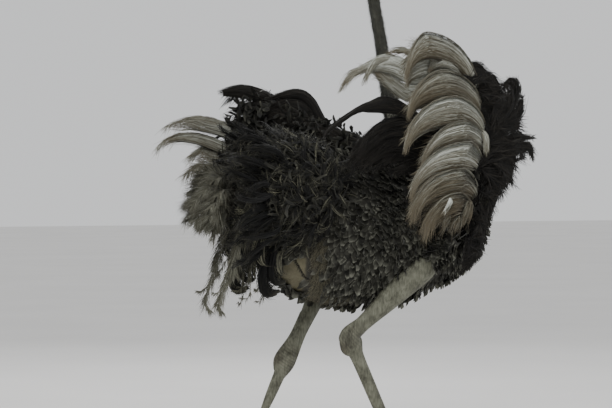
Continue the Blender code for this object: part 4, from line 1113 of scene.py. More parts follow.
def rump_coat(material, curled):
    """Shaggy curled plumes over the rump, each layer with tufts, loose vanes and thin pale wires that paint
    highlights.
    """
    coat, over = Coat(), Coat()
    x, low, high, half = curve(RUMP + (0, 0.06, -0.06, -0.06), np.linspace(0.02, 0.98, 24)).T[..., None]
    turn = np.linspace(0, TURN, 33)
    height = (low + high) / 2 + (high - low) / 2 * np.cos(turn)
    core = np.stack((x + 0 * turn, half * np.sin(turn), height), -1)
    coat.add(core[None], 0.0, on_map("rump", 0.5, 0.5))
    for drawn, length in ((0.05, 0.115), (0.024, 0.08)):
        places, along, around = body_grid(RUMP, 0.038, low=0.02, high=0.99, jitter=0.5)
        keep = places[:, 0] < -0.21
        root_places = on_map("rump", along, around)[keep]
        centre = np.stack((places[:, 0] * 0.55 - 0.18, 0 * places[:, 0], np.full(len(places), 1.12)), -1)
        normals = unit(places - centre)
        heap = np.sin(places @ np.array((31.0, 17.0, 5.0))) * np.sin(places @ np.array((-9.0, 23.0, 37.0)))
        roots = places - normals * (drawn + 0.014 * heap)[:, None]
        # The feathers stream back round the tail: up and over above it, down below it.
        wish = unit(places - np.array((-0.3, 0.0, 1.08))) * (1.0, 0.4, 1.1) + (-0.55, 0, 0)
        wish = wish + gauss(0, 0.42, roots.shape)
        locks(coat, *pick(keep, roots, lie(normals, wish), normals), length * draw(0.6, 1.35, keep.sum()),
              root_places, strands=9, lift=0.85, curl=0.6, spread=0.017, tone=(0.0, 0.55))
        flow = lie(normals, wish, 0.25)
        for _ in range(2):
            shifted = roots + gauss(0, 0.012, roots.shape)
            vanes(over, *pick(keep, shifted, flow, normals), length * draw(0.6, 1.2, keep.sum()), root_places,
                  width=0.01, curl=0.4)
        # Thin pale wiry strands over the tufts: painted highlights on the black feathers.
        locks(coat, *pick(keep, roots + normals * 0.012, flow, normals), length * draw(0.5, 1.0, keep.sum()),
              root_places, strands=4, lift=1.0, curl=0.9, spread=0.018, strand=0.0016, tone=(0.15, 1.1))
    coat.make("rump_feathers_coat", material, "black_feathers", "rump_feathers")
    over.make("rump_vanes", curled, "black_feathers")
    rump_fringe(material)


def rump_fringe(material):
    """Hooked tufts behind the rump, and the plumes that hang at the vent."""
    coat = Coat()
    for side in (-1, 1):
        for turn in range(6, 178, 9):
            angle = math.radians(turn)
            for _ in range(2):
                angle = angle + gauss(0, 0.05)
                out = np.array((0, side * math.sin(angle), math.cos(angle)))
                rear = 0.06 * smoothstep(40, 65, turn) * smoothstep(150, 125, turn) if side < 0 else 0.0
                start = np.array((-0.44 - rear, side * 0.17 * math.sin(angle), 1.12 + 0.16 * math.cos(angle)))
                start = start + gauss(0, 0.02, 3)
                shorter = 1 - 0.35 * smoothstep(120, 165, turn) if side < 0 else 0.62
                reach = draw(0.75, 1.15) * shorter * (1 + 2.5 * rear)
                sway = gauss(0, 0.022, 3)
                middle = start + (out * 0.08 + (-0.1, 0, 0.01) + sway) * reach
                bend = middle + (out * 0.045 + (-0.085, 0, -0.01) - 0.6 * sway) * reach
                hook = bend + (out * draw(-0.03, 0.045) + (-0.02, 0, -0.015) - sway) * reach
                spine = np.array((start, middle, bend, hook))
                place = on_map("rump", 0.9, (angle * side / TURN) % 1)
                combed(coat, band(spine, draw(0.014, 0.03), out, tip=0.4), 40, place, out=out, depth=0.01,
                       clumps=4, fray=0.009, tone=(0.0, 0.22), shade=0.2, back=2.0, core=False, strand=0.0034,
                       rows=7)
                feather(coat, spine, 0.03, 36, place, out, rows=4, tone=(0.0, 0.7), sweep=0.5, droop=0.2,
                        tip=0.5, fray=0.35, strand=0.002)
        outward = (0, side, 0.2)
        for k in range(14):
            start = np.array((-0.455 - 0.009 * k, side * draw(0.07, 0.16), 0.92 + 0.007 * k))
            drop = draw(0.07, 0.15)
            curl = draw(-0.03, 0.03)
            path = ((0, 0, 0), (-0.02, 0, -drop * 0.55), (-0.012, 0, -drop), (curl, 0, -drop - 0.01))
            spine = start + np.array(path)
            combed(coat, band(spine, 0.034, outward, tip=0.2), 34, on_map("rump", 0.5, 0.5 + 0.02 * k * side),
                   out=outward, depth=0.014, clumps=4, fray=0.007, tone=(0.0, 1.1), back=2.0, core=False)
        hang = np.array(((-0.515, side * 0.14, 0.94), (-0.55, side * 0.15, 0.86), (-0.56, side * 0.15, 0.79),
                         (-0.535, side * 0.15, 0.745), (-0.485, side * 0.15, 0.755)))
        for shift, width in (((0, 0, 0), 0.036), ((0.018, 0.01, 0.01), 0.034), ((0.034, -0.01, 0.045), 0.03)):
            combed(coat, band(hang + shift, width, outward, tip=0.4), 80,
                   on_map("rump", 0.9, 0.5 + 0.3 * side), out=outward, depth=0.018, clumps=6, fray=0.013,
                   tone=(0.0, 0.4), back=2.4, strand=0.003)
    coat.make("rump_fringe", material, "black_feathers")


TAIL_ROWS = (
    (50, (-30, -10, 10, 30), 0.155),
    (32, (-44, -22, 0, 22, 44), 0.16),
    (14, (-42, -16, 16, 42), 0.172),
    (-2, (-42, -14, 14, 42), 0.165),
    (-18, (-36, -12, 12, 36), 0.13),
)
# The plumes that hang below the tail, from its root: path, width and how many barbs
HANGING = (
    (((0.0, 0.05, -0.08), (-0.045, 0.07, -0.22), (-0.085, 0.07, -0.33), (-0.105, 0.065, -0.395),
      (-0.085, 0.06, -0.43)), 0.036, 330),
    (((0.0, 0.07, -0.06), (-0.03, 0.09, -0.16), (-0.05, 0.095, -0.24), (-0.045, 0.09, -0.275)), 0.045, 280),
    (((0.0, 0.06, -0.2), (-0.05, 0.075, -0.29), (-0.105, 0.08, -0.345), (-0.135, 0.08, -0.35)), 0.022, 110),
)


def tail_coat(material):
    """The tail's fan of ragged drooping plumes, and those that hang below it."""
    coat = Coat()
    for row, (lift, turns, reach) in enumerate(TAIL_ROWS):
        for k, turn in enumerate(turns):
            rise, sway = math.radians(lift), math.radians(turn)
            back = math.cos(sway)
            out = np.array((-math.cos(rise) * back, math.sin(sway), math.sin(rise) * back))
            reach = reach * draw(0.88, 1.05)
            middle = TAIL_ROOT + out * reach
            end = middle + out * reach * 0.35 + np.array((-0.015, 0, -0.04 - 0.03 * rng.random()))
            facing = unit(np.array((-0.2, 0.6 * np.sign(turn + 0.1), 1.0)))
            place = on_map("tail", (row + 0.5) / 6, (k + 0.5) / 5)
            spine = np.array((TAIL_ROOT + out * 0.03, middle, end))
            light = 0.45 + 0.1 * row
            combed(coat, band(spine[:2], 0.07, facing, tip=0.6), 90, place, out=facing, depth=0.018, clumps=7,
                   tone=(0.0, light), shade=0.25, back=1.5, strand=0.0032, begin=0.7, droop=0.01)
            feather(coat, spine, 0.066, 340, place, facing, tone=(0.0, light + 0.1), sweep=0.75, droop=0.28,
                    fray=0.2, strand=0.0022)
    for sign in (-1, 1):
        facing = (-0.3, sign, 0)
        for path, width, count in HANGING:
            spine = TAIL_ROOT + np.array(path) * (1, sign, 1)
            feather(coat, spine, width, count, on_map("tail", 0.95, 0.5 + sign * 0.3), facing,
                    tone=(0.0, 0.75), sweep=0.6, droop=0.5, tip=0.4, fray=0.22, strand=0.002)
        for k in range(5):
            start = TAIL_ROOT + (0.06 + 0.018 * k, sign * (0.06 + 0.012 * k), -0.12)
            fall = draw(0.19, 0.27)
            bow = draw(-0.03, 0.03)
            path = ((0, 0, 0), (bow, 0, -fall * 0.5), (bow * 0.4 - 0.02, 0, -fall),
                    (bow - 0.05, 0, -fall - 0.01))
            feather(coat, start + np.array(path), 0.02, 70, on_map("tail", 0.9, 0.5 + sign * 0.4), facing,
                    tone=(0.0, 0.6), sweep=0.5, fray=0.2)
    coat.make("tail_coat", material, "tail_plumes", "tail")


# The black plumes before the raised arm: forward and height of each one's path, and its width
FAN = (
    (((0.16, 1.5), (0.19, 1.6), (0.235, 1.635), (0.29, 1.6)), 0.06),
    (((0.17, 1.47), (0.24, 1.575), (0.3, 1.585), (0.345, 1.53)), 0.065),
    (((0.18, 1.43), (0.27, 1.51), (0.325, 1.52), (0.355, 1.46)), 0.07),
    (((0.18, 1.38), (0.25, 1.44), (0.315, 1.475), (0.355, 1.5)), 0.08),
    (((0.19, 1.36), (0.33, 1.44), (0.405, 1.52), (0.408, 1.578), (0.378, 1.588), (0.362, 1.555)), 0.04),
    (((0.19, 1.34), (0.33, 1.41), (0.42, 1.46), (0.445, 1.525)), 0.045),
    (((0.2, 1.32), (0.31, 1.4), (0.39, 1.43), (0.425, 1.39)), 0.08),
    (((0.2, 1.29), (0.34, 1.345), (0.42, 1.365), (0.497, 1.366)), 0.03),
    (((0.2, 1.28), (0.33, 1.31), (0.42, 1.328), (0.475, 1.325), (0.493, 1.285)), 0.04),
    (((0.2, 1.26), (0.31, 1.32), (0.375, 1.315), (0.405, 1.25)), 0.08),
    (((0.21, 1.23), (0.3, 1.275), (0.365, 1.25), (0.385, 1.195)), 0.08),
    (((0.21, 1.2), (0.28, 1.235), (0.335, 1.205), (0.35, 1.15)), 0.08),
    (((0.215, 1.17), (0.265, 1.19), (0.3, 1.15), (0.305, 1.085)), 0.08),
    (((0.215, 1.13), (0.255, 1.145), (0.275, 1.09), (0.272, 1.02)), 0.075),
    (((0.215, 1.09), (0.24, 1.1), (0.25, 1.04), (0.245, 0.97)), 0.07),
    (((0.21, 1.04), (0.225, 1.04), (0.23, 0.98), (0.225, 0.92)), 0.065),
    (((0.205, 0.99), (0.215, 0.98), (0.215, 0.92), (0.2, 0.87)), 0.06),
    (((0.2, 0.95), (0.205, 0.93), (0.2, 0.88), (0.18, 0.84)), 0.055),
)
# The black plumes that sweep back from the arm's inner side: path and width
INNER = (
    (((0.14, -0.4, 1.36), (0.02, -0.34, 1.405), (-0.1, -0.32, 1.385), (-0.18, -0.31, 1.34),
      (-0.21, -0.31, 1.28)), 0.06),
    (((0.15, -0.38, 1.28), (0.0, -0.35, 1.36), (-0.13, -0.33, 1.345), (-0.23, -0.31, 1.255)), 0.078),
    (((0.15, -0.38, 1.22), (0.02, -0.36, 1.32), (-0.09, -0.34, 1.32), (-0.19, -0.32, 1.255)), 0.076),
    (((0.15, -0.37, 1.18), (0.05, -0.36, 1.29), (-0.04, -0.345, 1.3), (-0.14, -0.33, 1.25)), 0.074),
    (((0.16, -0.37, 1.14), (0.08, -0.37, 1.24), (0.01, -0.36, 1.26), (-0.07, -0.34, 1.235)), 0.068),
    (((0.17, -0.38, 1.08), (0.12, -0.38, 1.16), (0.05, -0.37, 1.17), (0.0, -0.36, 1.12)), 0.065),
    (((0.19, -0.38, 1.02), (0.14, -0.38, 1.1), (0.08, -0.37, 1.1), (0.04, -0.36, 1.04)), 0.06),
)
# The long thin black plume over the back: its upper and lower edge
STREAMER = (
    ((0.1, -0.4, 1.4), (-0.02, -0.34, 1.497), (-0.075, -0.34, 1.52), (-0.125, -0.34, 1.528),
     (-0.175, -0.34, 1.506), (-0.22, -0.34, 1.486), (-0.3, -0.34, 1.438), (-0.36, -0.34, 1.4),
     (-0.385, -0.34, 1.358)),
    ((0.08, -0.4, 1.34), (-0.03, -0.34, 1.445), (-0.08, -0.34, 1.458), (-0.13, -0.34, 1.462),
     (-0.18, -0.34, 1.464), (-0.23, -0.34, 1.466), (-0.295, -0.34, 1.432), (-0.36, -0.34, 1.388),
     (-0.383, -0.34, 1.358)),
)


def right_wing_black(material):
    """Black plumes that fan forward from the raised arm, and sweep back from its inner side."""
    coat = Coat()
    facing = (0, -1, 0.1)
    for layer in range(3):
        for k, (path, width) in enumerate(FAN):
            path = np.array(in_plane(-0.44, path)[0])
            start = path[0]
            spine = [start + (p - start) * (1 - 0.16 * layer) + gauss(0, 0.008 * layer, 3) for p in path]
            spine = np.array(spine) + (0, -0.006 - 0.014 * layer, 0)
            spine[1:-1, 1] -= 0.012
            place = on_map("wing_right", 0.05 + 0.05 * k, 0.1 + 0.08 * layer)
            if layer < 2:
                combed(coat, band(spine, width * 1.15, facing, tip=0.45), 60, place, depth=0.007, fray=0.01,
                       strand=0.0034, back=0.9, core=layer == 0, rows=7, tone=(0.0, 0.9))
            feather(coat, spine, width * (0.62 if k < 12 else 0.42), 230, place, facing, tone=(0.0, 1.0),
                    sweep=0.55, droop=0.0, tip=0.75, fray=0.3, strand=0.0028)
    coat.make("wing_right_fan", material, "black_feathers", "wing_right")
    coat = Coat()
    for k, (path, width) in enumerate(INNER):
        for copy in range(4):
            hand = (0.205, -0.435, min(max(path[0][2] - 0.02, 1.06), 1.42))
            spine = np.array((hand, *path)) + gauss(0, 0.01, (len(path) + 1, 3)) * (copy > 0)
            spine[:, 1] += 0.012 * copy
            place = on_map("wing_right", 0.05 + 0.12 * k, 0.38 + 0.06 * copy)
            combed(coat, band(spine, width, facing, tip=0.3), 100, place, depth=0.014, strand=0.0038,
                   tone=(0.0, 0.9))
            feather(coat, spine, width * 0.55, 130, place, facing, sweep=0.45, droop=0.1, tip=0.8, fray=0.3,
                    strand=0.0026)
    combed(coat, STREAMER, 420, on_map("wing_right", 0.9, 0.6), depth=0.016, clumps=6, fray=0.003, lining=200)
    coat.make("wing_right_inner", material, "black_feathers")


# The seven plumes down the raised hand, from the top: where each leaves the hand, crests and ends
CASCADE = (
    ((0.25, -0.45, 1.51), (-0.048, -0.57, 1.76), (-0.105, -0.5, 1.59)),
    ((0.262, -0.45, 1.46), (0.022, -0.57, 1.615), (-0.095, -0.5, 1.435)),
    ((0.28, -0.45, 1.37), (0.062, -0.575, 1.515), (-0.11, -0.5, 1.305)),
    ((0.285, -0.45, 1.31), (0.108, -0.575, 1.42), (-0.035, -0.5, 1.225)),
    ((0.265, -0.45, 1.235), (0.125, -0.58, 1.34), (-0.085, -0.5, 1.115)),
    ((0.245, -0.45, 1.13), (0.095, -0.575, 1.235), (-0.08, -0.495, 1.03)),
    ((0.22, -0.45, 1.06), (0.09, -0.56, 1.14), (-0.02, -0.49, 0.965)),
)
CASCADE_FACING = (-0.3, -0.9, 0.35)
CASCADE_TONES = ((0.2, 1.1), (0.1, 0.85), (0.4, 1.2), (0.35, 1.2), (0.45, 1.25), (0.05, 0.9), (-0.1, 0.55))
# The plumes between and beside them: the upper and lower edge of each, as a path or as root, crest and tip,
# how many strands it has, and their tones
BETWEEN = (
    (((0.235, -0.44, 1.49), (0.04, -0.53, 1.68), (-0.01, -0.505, 1.615)),
     ((0.235, -0.43, 1.47), (0.045, -0.525, 1.63), (0.0, -0.505, 1.61)), 260, (0.3, 0.9)),
    (((0.2, -0.42, 1.45), (-0.02, -0.5, 1.69), (-0.09, -0.47, 1.56)),
     ((0.2, -0.41, 1.42), (0.0, -0.49, 1.6), (-0.08, -0.465, 1.545)), 240, (0.4, 1.0)),
    (((0.045, -0.58, 1.13), (0.034, -0.59, 1.115), (0.024, -0.59, 1.09), (0.018, -0.58, 1.06)),
     ((0.06, -0.575, 1.12), (0.052, -0.59, 1.105), (0.038, -0.585, 1.08), (0.02, -0.58, 1.058)), 36,
     (0.8, 1.1)),
    (((0.25, -0.47, 1.4), (0.266, -0.49, 1.37), (0.266, -0.49, 1.32), (0.262, -0.485, 1.292)),
     ((0.225, -0.49, 1.39), (0.232, -0.51, 1.36), (0.242, -0.505, 1.31), (0.258, -0.49, 1.29)), 90,
     (0.2, 0.9)),
)
# The white plumes that blow inward over the back from the top of the hand: the edges of each, how many
# strands it has, their tones and its depth
TOPMOST = (
    (((0.165, -0.48, 1.645), (0.06, -0.4, 1.655), (-0.016, -0.345, 1.67), (-0.095, -0.34, 1.695),
      (-0.155, -0.34, 1.675), (-0.2, -0.34, 1.648), (-0.27, -0.34, 1.615), (-0.312, -0.34, 1.548)),
     ((0.165, -0.475, 1.6), (0.06, -0.39, 1.575), (-0.016, -0.34, 1.58), (-0.075, -0.34, 1.608),
      (-0.13, -0.34, 1.625), (-0.185, -0.34, 1.628), (-0.25, -0.34, 1.606), (-0.31, -0.34, 1.542)), 480,
     (0.45, 1.1), 0.02),
    (((0.17, -0.475, 1.605), (0.06, -0.385, 1.585), (-0.016, -0.335, 1.575), (-0.075, -0.335, 1.6),
      (-0.12, -0.335, 1.613), (-0.166, -0.335, 1.624)),
     ((0.17, -0.47, 1.55), (0.06, -0.37, 1.52), (-0.02, -0.34, 1.51), (-0.075, -0.34, 1.548),
      (-0.12, -0.34, 1.583), (-0.166, -0.34, 1.62)), 320, (0.3, 0.95), 0.018),
    (((-0.1, -0.355, 1.685), (-0.17, -0.36, 1.672), (-0.205, -0.36, 1.62), (-0.222, -0.355, 1.568)),
     ((-0.1, -0.355, 1.665), (-0.15, -0.36, 1.65), (-0.19, -0.36, 1.61), (-0.218, -0.355, 1.566)), 90,
     (0.1, 0.8), 0.008),
    (((0.03, -0.38, 1.66), (-0.03, -0.37, 1.715), (-0.08, -0.36, 1.718), (-0.12, -0.35, 1.7)),
     ((0.03, -0.38, 1.63), (-0.03, -0.37, 1.69), (-0.07, -0.36, 1.695), (-0.11, -0.35, 1.685)), 60,
     (0.0, 0.5), 0.01),
)


def right_wing_white(material):
    """White plumes down the hand, each curling out and back like a breaking wave over the one below."""
    coat = Coat()
    for k, (root, crest, tip) in enumerate(CASCADE):
        root, crest, tip = (np.array(p) for p in (root, crest, tip))
        if k == 0:
            below = np.array((-0.02, -0.555, 1.665))
        elif k < 6:
            below = np.array(CASCADE[k + 1][1]) + (0.0, 0.035, -0.012)
        else:
            below = crest + (-0.01, 0.02, -0.085)
        edges = arch(root, crest, tip), arch(root + (-0.01, 0.01, -0.055), below, tip + (0.004, 0, -0.008))
        place = on_map("wing_right", 0.06 + 0.14 * k, 0.85)
        messy = 1.0 if k < 5 else 2.6
        # A strong shade paints each plume's underside dark: painted shade.
        combed(coat, edges, 700, place, out=CASCADE_FACING, depth=0.036, clumps=16, fray=0.005 * messy,
               strand=0.0031, tone=CASCADE_TONES[k], shade=0.98, rows=10, droop=0.004 * messy, lining=240)
        combed(coat, (edges[0], edges[0] - (0, 0, 0.007)), 50, place, out=CASCADE_FACING, depth=0.036,
               clumps=5, fray=0.004, strand=0.0026, tone=(-0.1, 0.35), shade=0.0, core=False, begin=0.9)
        # Dark barbs set inside each plume and facing inward: painted shade behind its curl and in the gap to
        # the next plume.
        inner = (edges[0] * 0.6 + edges[1] * 0.4)[2:-1] + (0.012, 0.034, 0.0)
        feather(coat, inner, 0.06, 260, place, (0.3, 0.9, -0.2), tone=(-0.1, 0.45), sweep=0.5, droop=0.2,
                tip=0.5, fray=0.25, strand=0.0026)
    for k, (upper, lower, count, tone) in enumerate(BETWEEN):
        edges = (upper, lower) if len(upper) > 3 else (arch(*upper), arch(*lower))
        combed(coat, edges, count, on_map("wing_right", 0.15 + 0.2 * k, 0.97), out=CASCADE_FACING,
               depth=0.018, clumps=8, tone=tone, strand=0.0034, fray=0.006)
    for k in range(30):
        reach = rng.random()
        start = np.array((0.03 + 0.14 * reach, -0.5 - 0.05 * rng.random(), draw(1.05, 1.12)))
        drop = np.array((draw(-0.05, -0.01), 0.02, -draw(0.05, 0.1)))
        spine = (start, start + drop * 0.5 + (0, -0.012, 0.01), start + drop)
        combed(coat, band(spine, 0.02, CASCADE_FACING, tip=0.2), 24, on_map("wing_right", 0.95, 0.8), rows=7,
               out=CASCADE_FACING, depth=0.006, clumps=3, fray=0.009, tone=(-0.1, 0.65 - 0.4 * reach),
               core=False, strand=0.0024)
    coat.make("wing_right_plumes", material, "white_plumes", "wing_plumes_right")
    coat = Coat()
    for k, (upper, lower, count, tone, depth) in enumerate(TOPMOST):
        broad = k < 2
        combed(coat, (upper, lower), count, on_map("wing_right", 0.15 + 0.2 * k, 0.75), depth=depth, clumps=8,
               tone=tone, strand=0.0032, fray=0.006, core=broad, lining=240 * broad)
        middle = sum(curve(edge, np.linspace(0, 1, 8)) for edge in (upper, lower)) / 2
        feather(coat, middle, 0.048 if broad else 0.012, 330 if broad else 40,
                on_map("wing_right", 0.15 + 0.2 * k, 0.7), (0, -1, 0.1), tone=tone, sweep=0.3, droop=0.0,
                tip=0.3, fray=0.25, strand=0.0022)
    coat.make("wing_right_top_plumes", material, "white_plumes")


# The trailing wing's black plumes: path, width and how many lie together
LEFT_BLACK = (
    (((0.16, 0.22, 1.2), (0.13, 0.24, 1.29), (0.05, 0.26, 1.335), (-0.05, 0.27, 1.35), (-0.14, 0.28, 1.32)),
     0.08, 4),
    (((0.1, 0.26, 1.21), (0.05, 0.28, 1.31), (-0.04, 0.3, 1.375), (-0.14, 0.31, 1.395),
      (-0.24, 0.31, 1.37)), 0.075, 4),
    (((0.0, 0.31, 1.28), (-0.08, 0.33, 1.36), (-0.17, 0.34, 1.43), (-0.27, 0.35, 1.46),
      (-0.36, 0.35, 1.44)), 0.09, 4),
    (((-0.06, 0.36, 1.28), (-0.14, 0.37, 1.38), (-0.24, 0.38, 1.45), (-0.34, 0.39, 1.49),
      (-0.44, 0.39, 1.475)), 0.09, 4),
    (((-0.1, 0.37, 1.26), (-0.2, 0.39, 1.36), (-0.32, 0.4, 1.42), (-0.46, 0.4, 1.42)), 0.09, 4),
    (((-0.14, 0.39, 1.28), (-0.24, 0.4, 1.35), (-0.36, 0.41, 1.38), (-0.48, 0.41, 1.345)), 0.09, 3),
    (((0.1, 0.27, 1.18), (0.0, 0.35, 1.17), (-0.16, 0.39, 1.16), (-0.3, 0.38, 1.09)), 0.11, 5),
    (((0.02, 0.31, 1.22), (-0.1, 0.39, 1.24), (-0.27, 0.42, 1.23), (-0.41, 0.41, 1.15)), 0.11, 5),
    (((0.06, 0.3, 1.26), (-0.04, 0.37, 1.3), (-0.18, 0.4, 1.31), (-0.32, 0.41, 1.26)), 0.1, 4),
    (((0.2, 0.21, 1.13), (0.1, 0.3, 1.09), (-0.05, 0.34, 1.05), (-0.18, 0.34, 0.98)), 0.11, 5),
)
# Its topmost black plume, and its upper white plumes: the edges of each
LEFT_CREST = in_plane(
    0.38,
    ((-0.16, 1.4), (-0.21, 1.49), (-0.28, 1.553), (-0.36, 1.582), (-0.44, 1.588), (-0.528, 1.56)),
    ((-0.22, 1.38), (-0.26, 1.455), (-0.31, 1.5), (-0.37, 1.525), (-0.44, 1.533), (-0.52, 1.545)),
)
LEFT_WHITE = (
    (((-0.28, 0.43, 1.33), (-0.38, 0.42, 1.403), (-0.45, 0.41, 1.427), (-0.53, 0.41, 1.448),
      (-0.6, 0.41, 1.458), (-0.68, 0.41, 1.441), (-0.735, 0.41, 1.418)),
     ((-0.28, 0.43, 1.27), (-0.4, 0.42, 1.33), (-0.48, 0.41, 1.378), (-0.56, 0.41, 1.398),
      (-0.62, 0.41, 1.407), (-0.68, 0.41, 1.404), (-0.73, 0.41, 1.412))),
    in_plane(0.43, ((-0.28, 1.31), (-0.4, 1.33), (-0.47, 1.35), (-0.53, 1.373), (-0.6, 1.388),
      (-0.68, 1.384), (-0.735, 1.36), (-0.765, 1.332)),
     ((-0.28, 1.27), (-0.42, 1.29), (-0.5, 1.315), (-0.55, 1.335), (-0.6, 1.352), (-0.66, 1.362),
      (-0.72, 1.348), (-0.76, 1.325))),
    (((-0.28, 0.44, 1.29), (-0.45, 0.45, 1.32), (-0.55, 0.45, 1.33), (-0.61, 0.45, 1.3)),
     ((-0.28, 0.44, 1.23), (-0.45, 0.45, 1.26), (-0.55, 0.45, 1.265), (-0.6, 0.45, 1.28))),
    (((-0.26, 0.44, 1.26), (-0.4, 0.46, 1.275), (-0.53, 0.46, 1.262), (-0.59, 0.45, 1.255),
      (-0.637, 0.45, 1.222)),
     ((-0.26, 0.44, 1.2), (-0.4, 0.46, 1.205), (-0.51, 0.46, 1.215), (-0.58, 0.45, 1.228),
      (-0.632, 0.45, 1.215))),
)
# Its lower white plumes, which trail and droop: the path of each
LEFT_TRAILING = (
    ((-0.24, 0.43, 1.29), (-0.36, 0.48, 1.22), (-0.49, 0.5, 1.14), (-0.56, 0.47, 1.02)),
    ((-0.22, 0.43, 1.27), (-0.33, 0.48, 1.18), (-0.44, 0.49, 1.09), (-0.51, 0.46, 0.96)),
    ((-0.2, 0.42, 1.25), (-0.29, 0.47, 1.14), (-0.39, 0.48, 1.04), (-0.46, 0.45, 0.91)),
    ((-0.14, 0.41, 1.22), (-0.21, 0.46, 1.11), (-0.29, 0.47, 1.02), (-0.35, 0.44, 0.91)),
)
# The plumes about its crest: the path of an arched one, the edges of the one under it, and the path, width
# and number of barbs of ragged ones
LEFT_ARCHED = in_plane(
    0.33,
    ((-0.03, 1.39), (-0.08, 1.45), (-0.11, 1.505), (-0.155, 1.545), (-0.205, 1.552), (-0.26, 1.545),
     (-0.32, 1.53)),
)[0]
LEFT_UNDER = in_plane(
    0.335,
    ((-0.05, 1.4), (-0.105, 1.49), (-0.17, 1.538), (-0.25, 1.536), (-0.31, 1.52)),
    ((-0.1, 1.33), (-0.17, 1.36), (-0.23, 1.39), (-0.29, 1.425), (-0.33, 1.46)),
)
LEFT_RAGGED = (
    (*in_plane(0.38, ((-0.16, 1.42), (-0.26, 1.5), (-0.36, 1.545), (-0.47, 1.548))), 0.06, 260),
    (*in_plane(0.37, ((-0.14, 1.38), (-0.24, 1.455), (-0.34, 1.49), (-0.43, 1.485))), 0.06, 260),
    (*in_plane(0.36, ((-0.12, 1.36), (-0.22, 1.42), (-0.31, 1.445), (-0.4, 1.425))), 0.06, 260),
    (*in_plane(0.34, ((-0.05, 1.4), (-0.1, 1.49), (-0.17, 1.53), (-0.27, 1.52))), 0.05, 240),
)


def left_wing(black, white, curled):
    """The trailing wing: black feathers over the back and flank, and white plumes behind."""
    coat, curls = Coat(), Coat()
    for k, (path, width, copies) in enumerate(LEFT_BLACK):
        for copy in range(copies):
            spine = np.array(path) + gauss(0, 0.01, (len(path), 3)) * (copy > 0)
            spine[:, 1] -= 0.01 * copy
            place = on_map("wing_left", 0.05 + 0.09 * k, 0.08 + 0.08 * copy)
            combed(coat, band(spine, width, (0, 1, 0.1), tip=0.3), 120, place, out=(0, 1, 0.1), depth=0.02,
                   clumps=8, fray=0.008, strand=0.0044, back=2.2)
    count = LEFT_VANES
    for k, (path, width, copies) in enumerate(LEFT_BLACK):
        for face in (-1, 1):
            here, ahead, across, _ = frame_along(path, draw(0.05, 0.95, count), (0, 1, 0.1))
            out = unit(np.array((0.0, face, 0.25)) + gauss(0, 0.2, (count, 3)))
            depth = 0.006 if face > 0 else 0.006 + 0.01 * copies
            roots = here + across * draw(-0.5, 0.5, (count, 1)) * width + out * depth
            flow = unit(ahead + across * gauss(0, 0.6, (count, 1)) + gauss(0, 0.2, (count, 3)))
            vanes(curls, roots, flow, out, draw(0.03, 0.065, count),
                  on_map("wing_left", 0.05 + 0.09 * k, 0.5), width=0.014)
    for path, width, count in LEFT_RAGGED:
        feather(coat, path, width, count, on_map("wing_left", 0.9, 0.6), (0, -1, 0.1), tone=(0.1, 1.0),
                sweep=0.6, droop=0.5, tip=0.8, fray=0.15, strand=0.0026)
    arched = band(LEFT_ARCHED, 0.045, (0, 1, 0.1), root=0.9, tip=0.3)
    crest = (LEFT_CREST, 380, (0.3, 1.0)), (arched, 320, (0.1, 0.9)), (LEFT_UNDER, 300, (0.2, 1.0))
    for edges, count, tone in crest:
        combed(coat, edges, count, on_map("wing_left", 0.9, 0.5), out=(0, -1, 0.2), depth=0.012, clumps=9,
               fray=0.004, tone=tone, back=2.2)
    coat.make("wing_left_feathers", black, "black_feathers", "wing_left")
    curls.make("wing_left_vanes", curled, "black_feathers")
    coat = Coat()
    for k, edges in enumerate(LEFT_WHITE):
        upper, lower = (np.array(edge) for edge in edges)
        place = on_map("wing_left", 0.1 + 0.2 * k, 0.9)
        combed(coat, (upper, lower - (0, 0, 0.012)), 260, place, out=(0, 1, 0.2), depth=0.014, strand=0.0023,
               fray=0.007, back=2.4, tone=(-0.1, 0.65), shade=0.1, core=False)
        combed(coat, (upper, upper - (0, 0, 0.007)), 60, place, out=(0, 1, 0.2), depth=0.005, clumps=4,
               strand=0.0024, fray=0.003, back=2.4, tone=(0.0, 0.3), shade=0.0, core=False)
        feather(coat, upper, 0.055, 200, place, (0, -1, 0.1), tone=(-0.1, 0.7), sweep=0.35, droop=0.7,
                tip=0.6, fray=0.25, strand=0.0019)
    facing = (-0.2, 1, 0.35)
    for k, spine in enumerate(LEFT_TRAILING):
        place = on_map("wing_left", 0.1 + 0.2 * k, 0.75)
        combed(coat, band(spine, 0.1, facing, tip=0.35), 420, place, out=facing, depth=0.026, strand=0.0034,
               fray=0.01, back=2.4, shade=0.2, tone=(0.0, 0.8))
        feather(coat, spine, 0.065, 300, place, facing, tone=(0.0, 0.8), sweep=0.4, droop=0.3, tip=0.6,
                fray=0.15)
    coat.make("wing_left_plumes", white, "white_plumes", "wing_plumes_left")


def arm_coat(tree, material):
    """The short black feathers that cover both wings' flesh, longest behind and below."""
    coat = Coat()
    for side, path in (("right", ARM_RIGHT), ("left", ARM_LEFT)):
        share, turn = rng.random(ARM_SCALES), draw(0, TURN, ARM_SCALES)
        here, ahead, across, up = frame_along(path, share, (1.0, 0.0, 0.2))
        size = np.interp(share, (0, 0.33, 0.66, 1), ARM_GIRTHS)
        places, normals = snap(tree, here + spokes(across, up, turn) * size[:, None])
        flow = lie(normals, ahead * 0.6 + (-0.6, 0, -0.35), 0.25)
        place = on_map(f"wing_{side}", share, turn / TURN)
        shells(coat, places, flow, normals, 0.05, 0.032, place, curl=0.2, tone=(0.0, 0.6))
        long = normals @ np.array((-0.8, 0.0, -0.6)) > 0.1
        vanes(coat, *pick(long, places, flow, normals), draw(0.07, 0.13, long.sum()), place[long],
              width=0.022, curl=0.3, lift=0.35, hook=0.4, tone=(0.0, 0.5))
    coat.make("arm_feathers", material, "black_feathers")


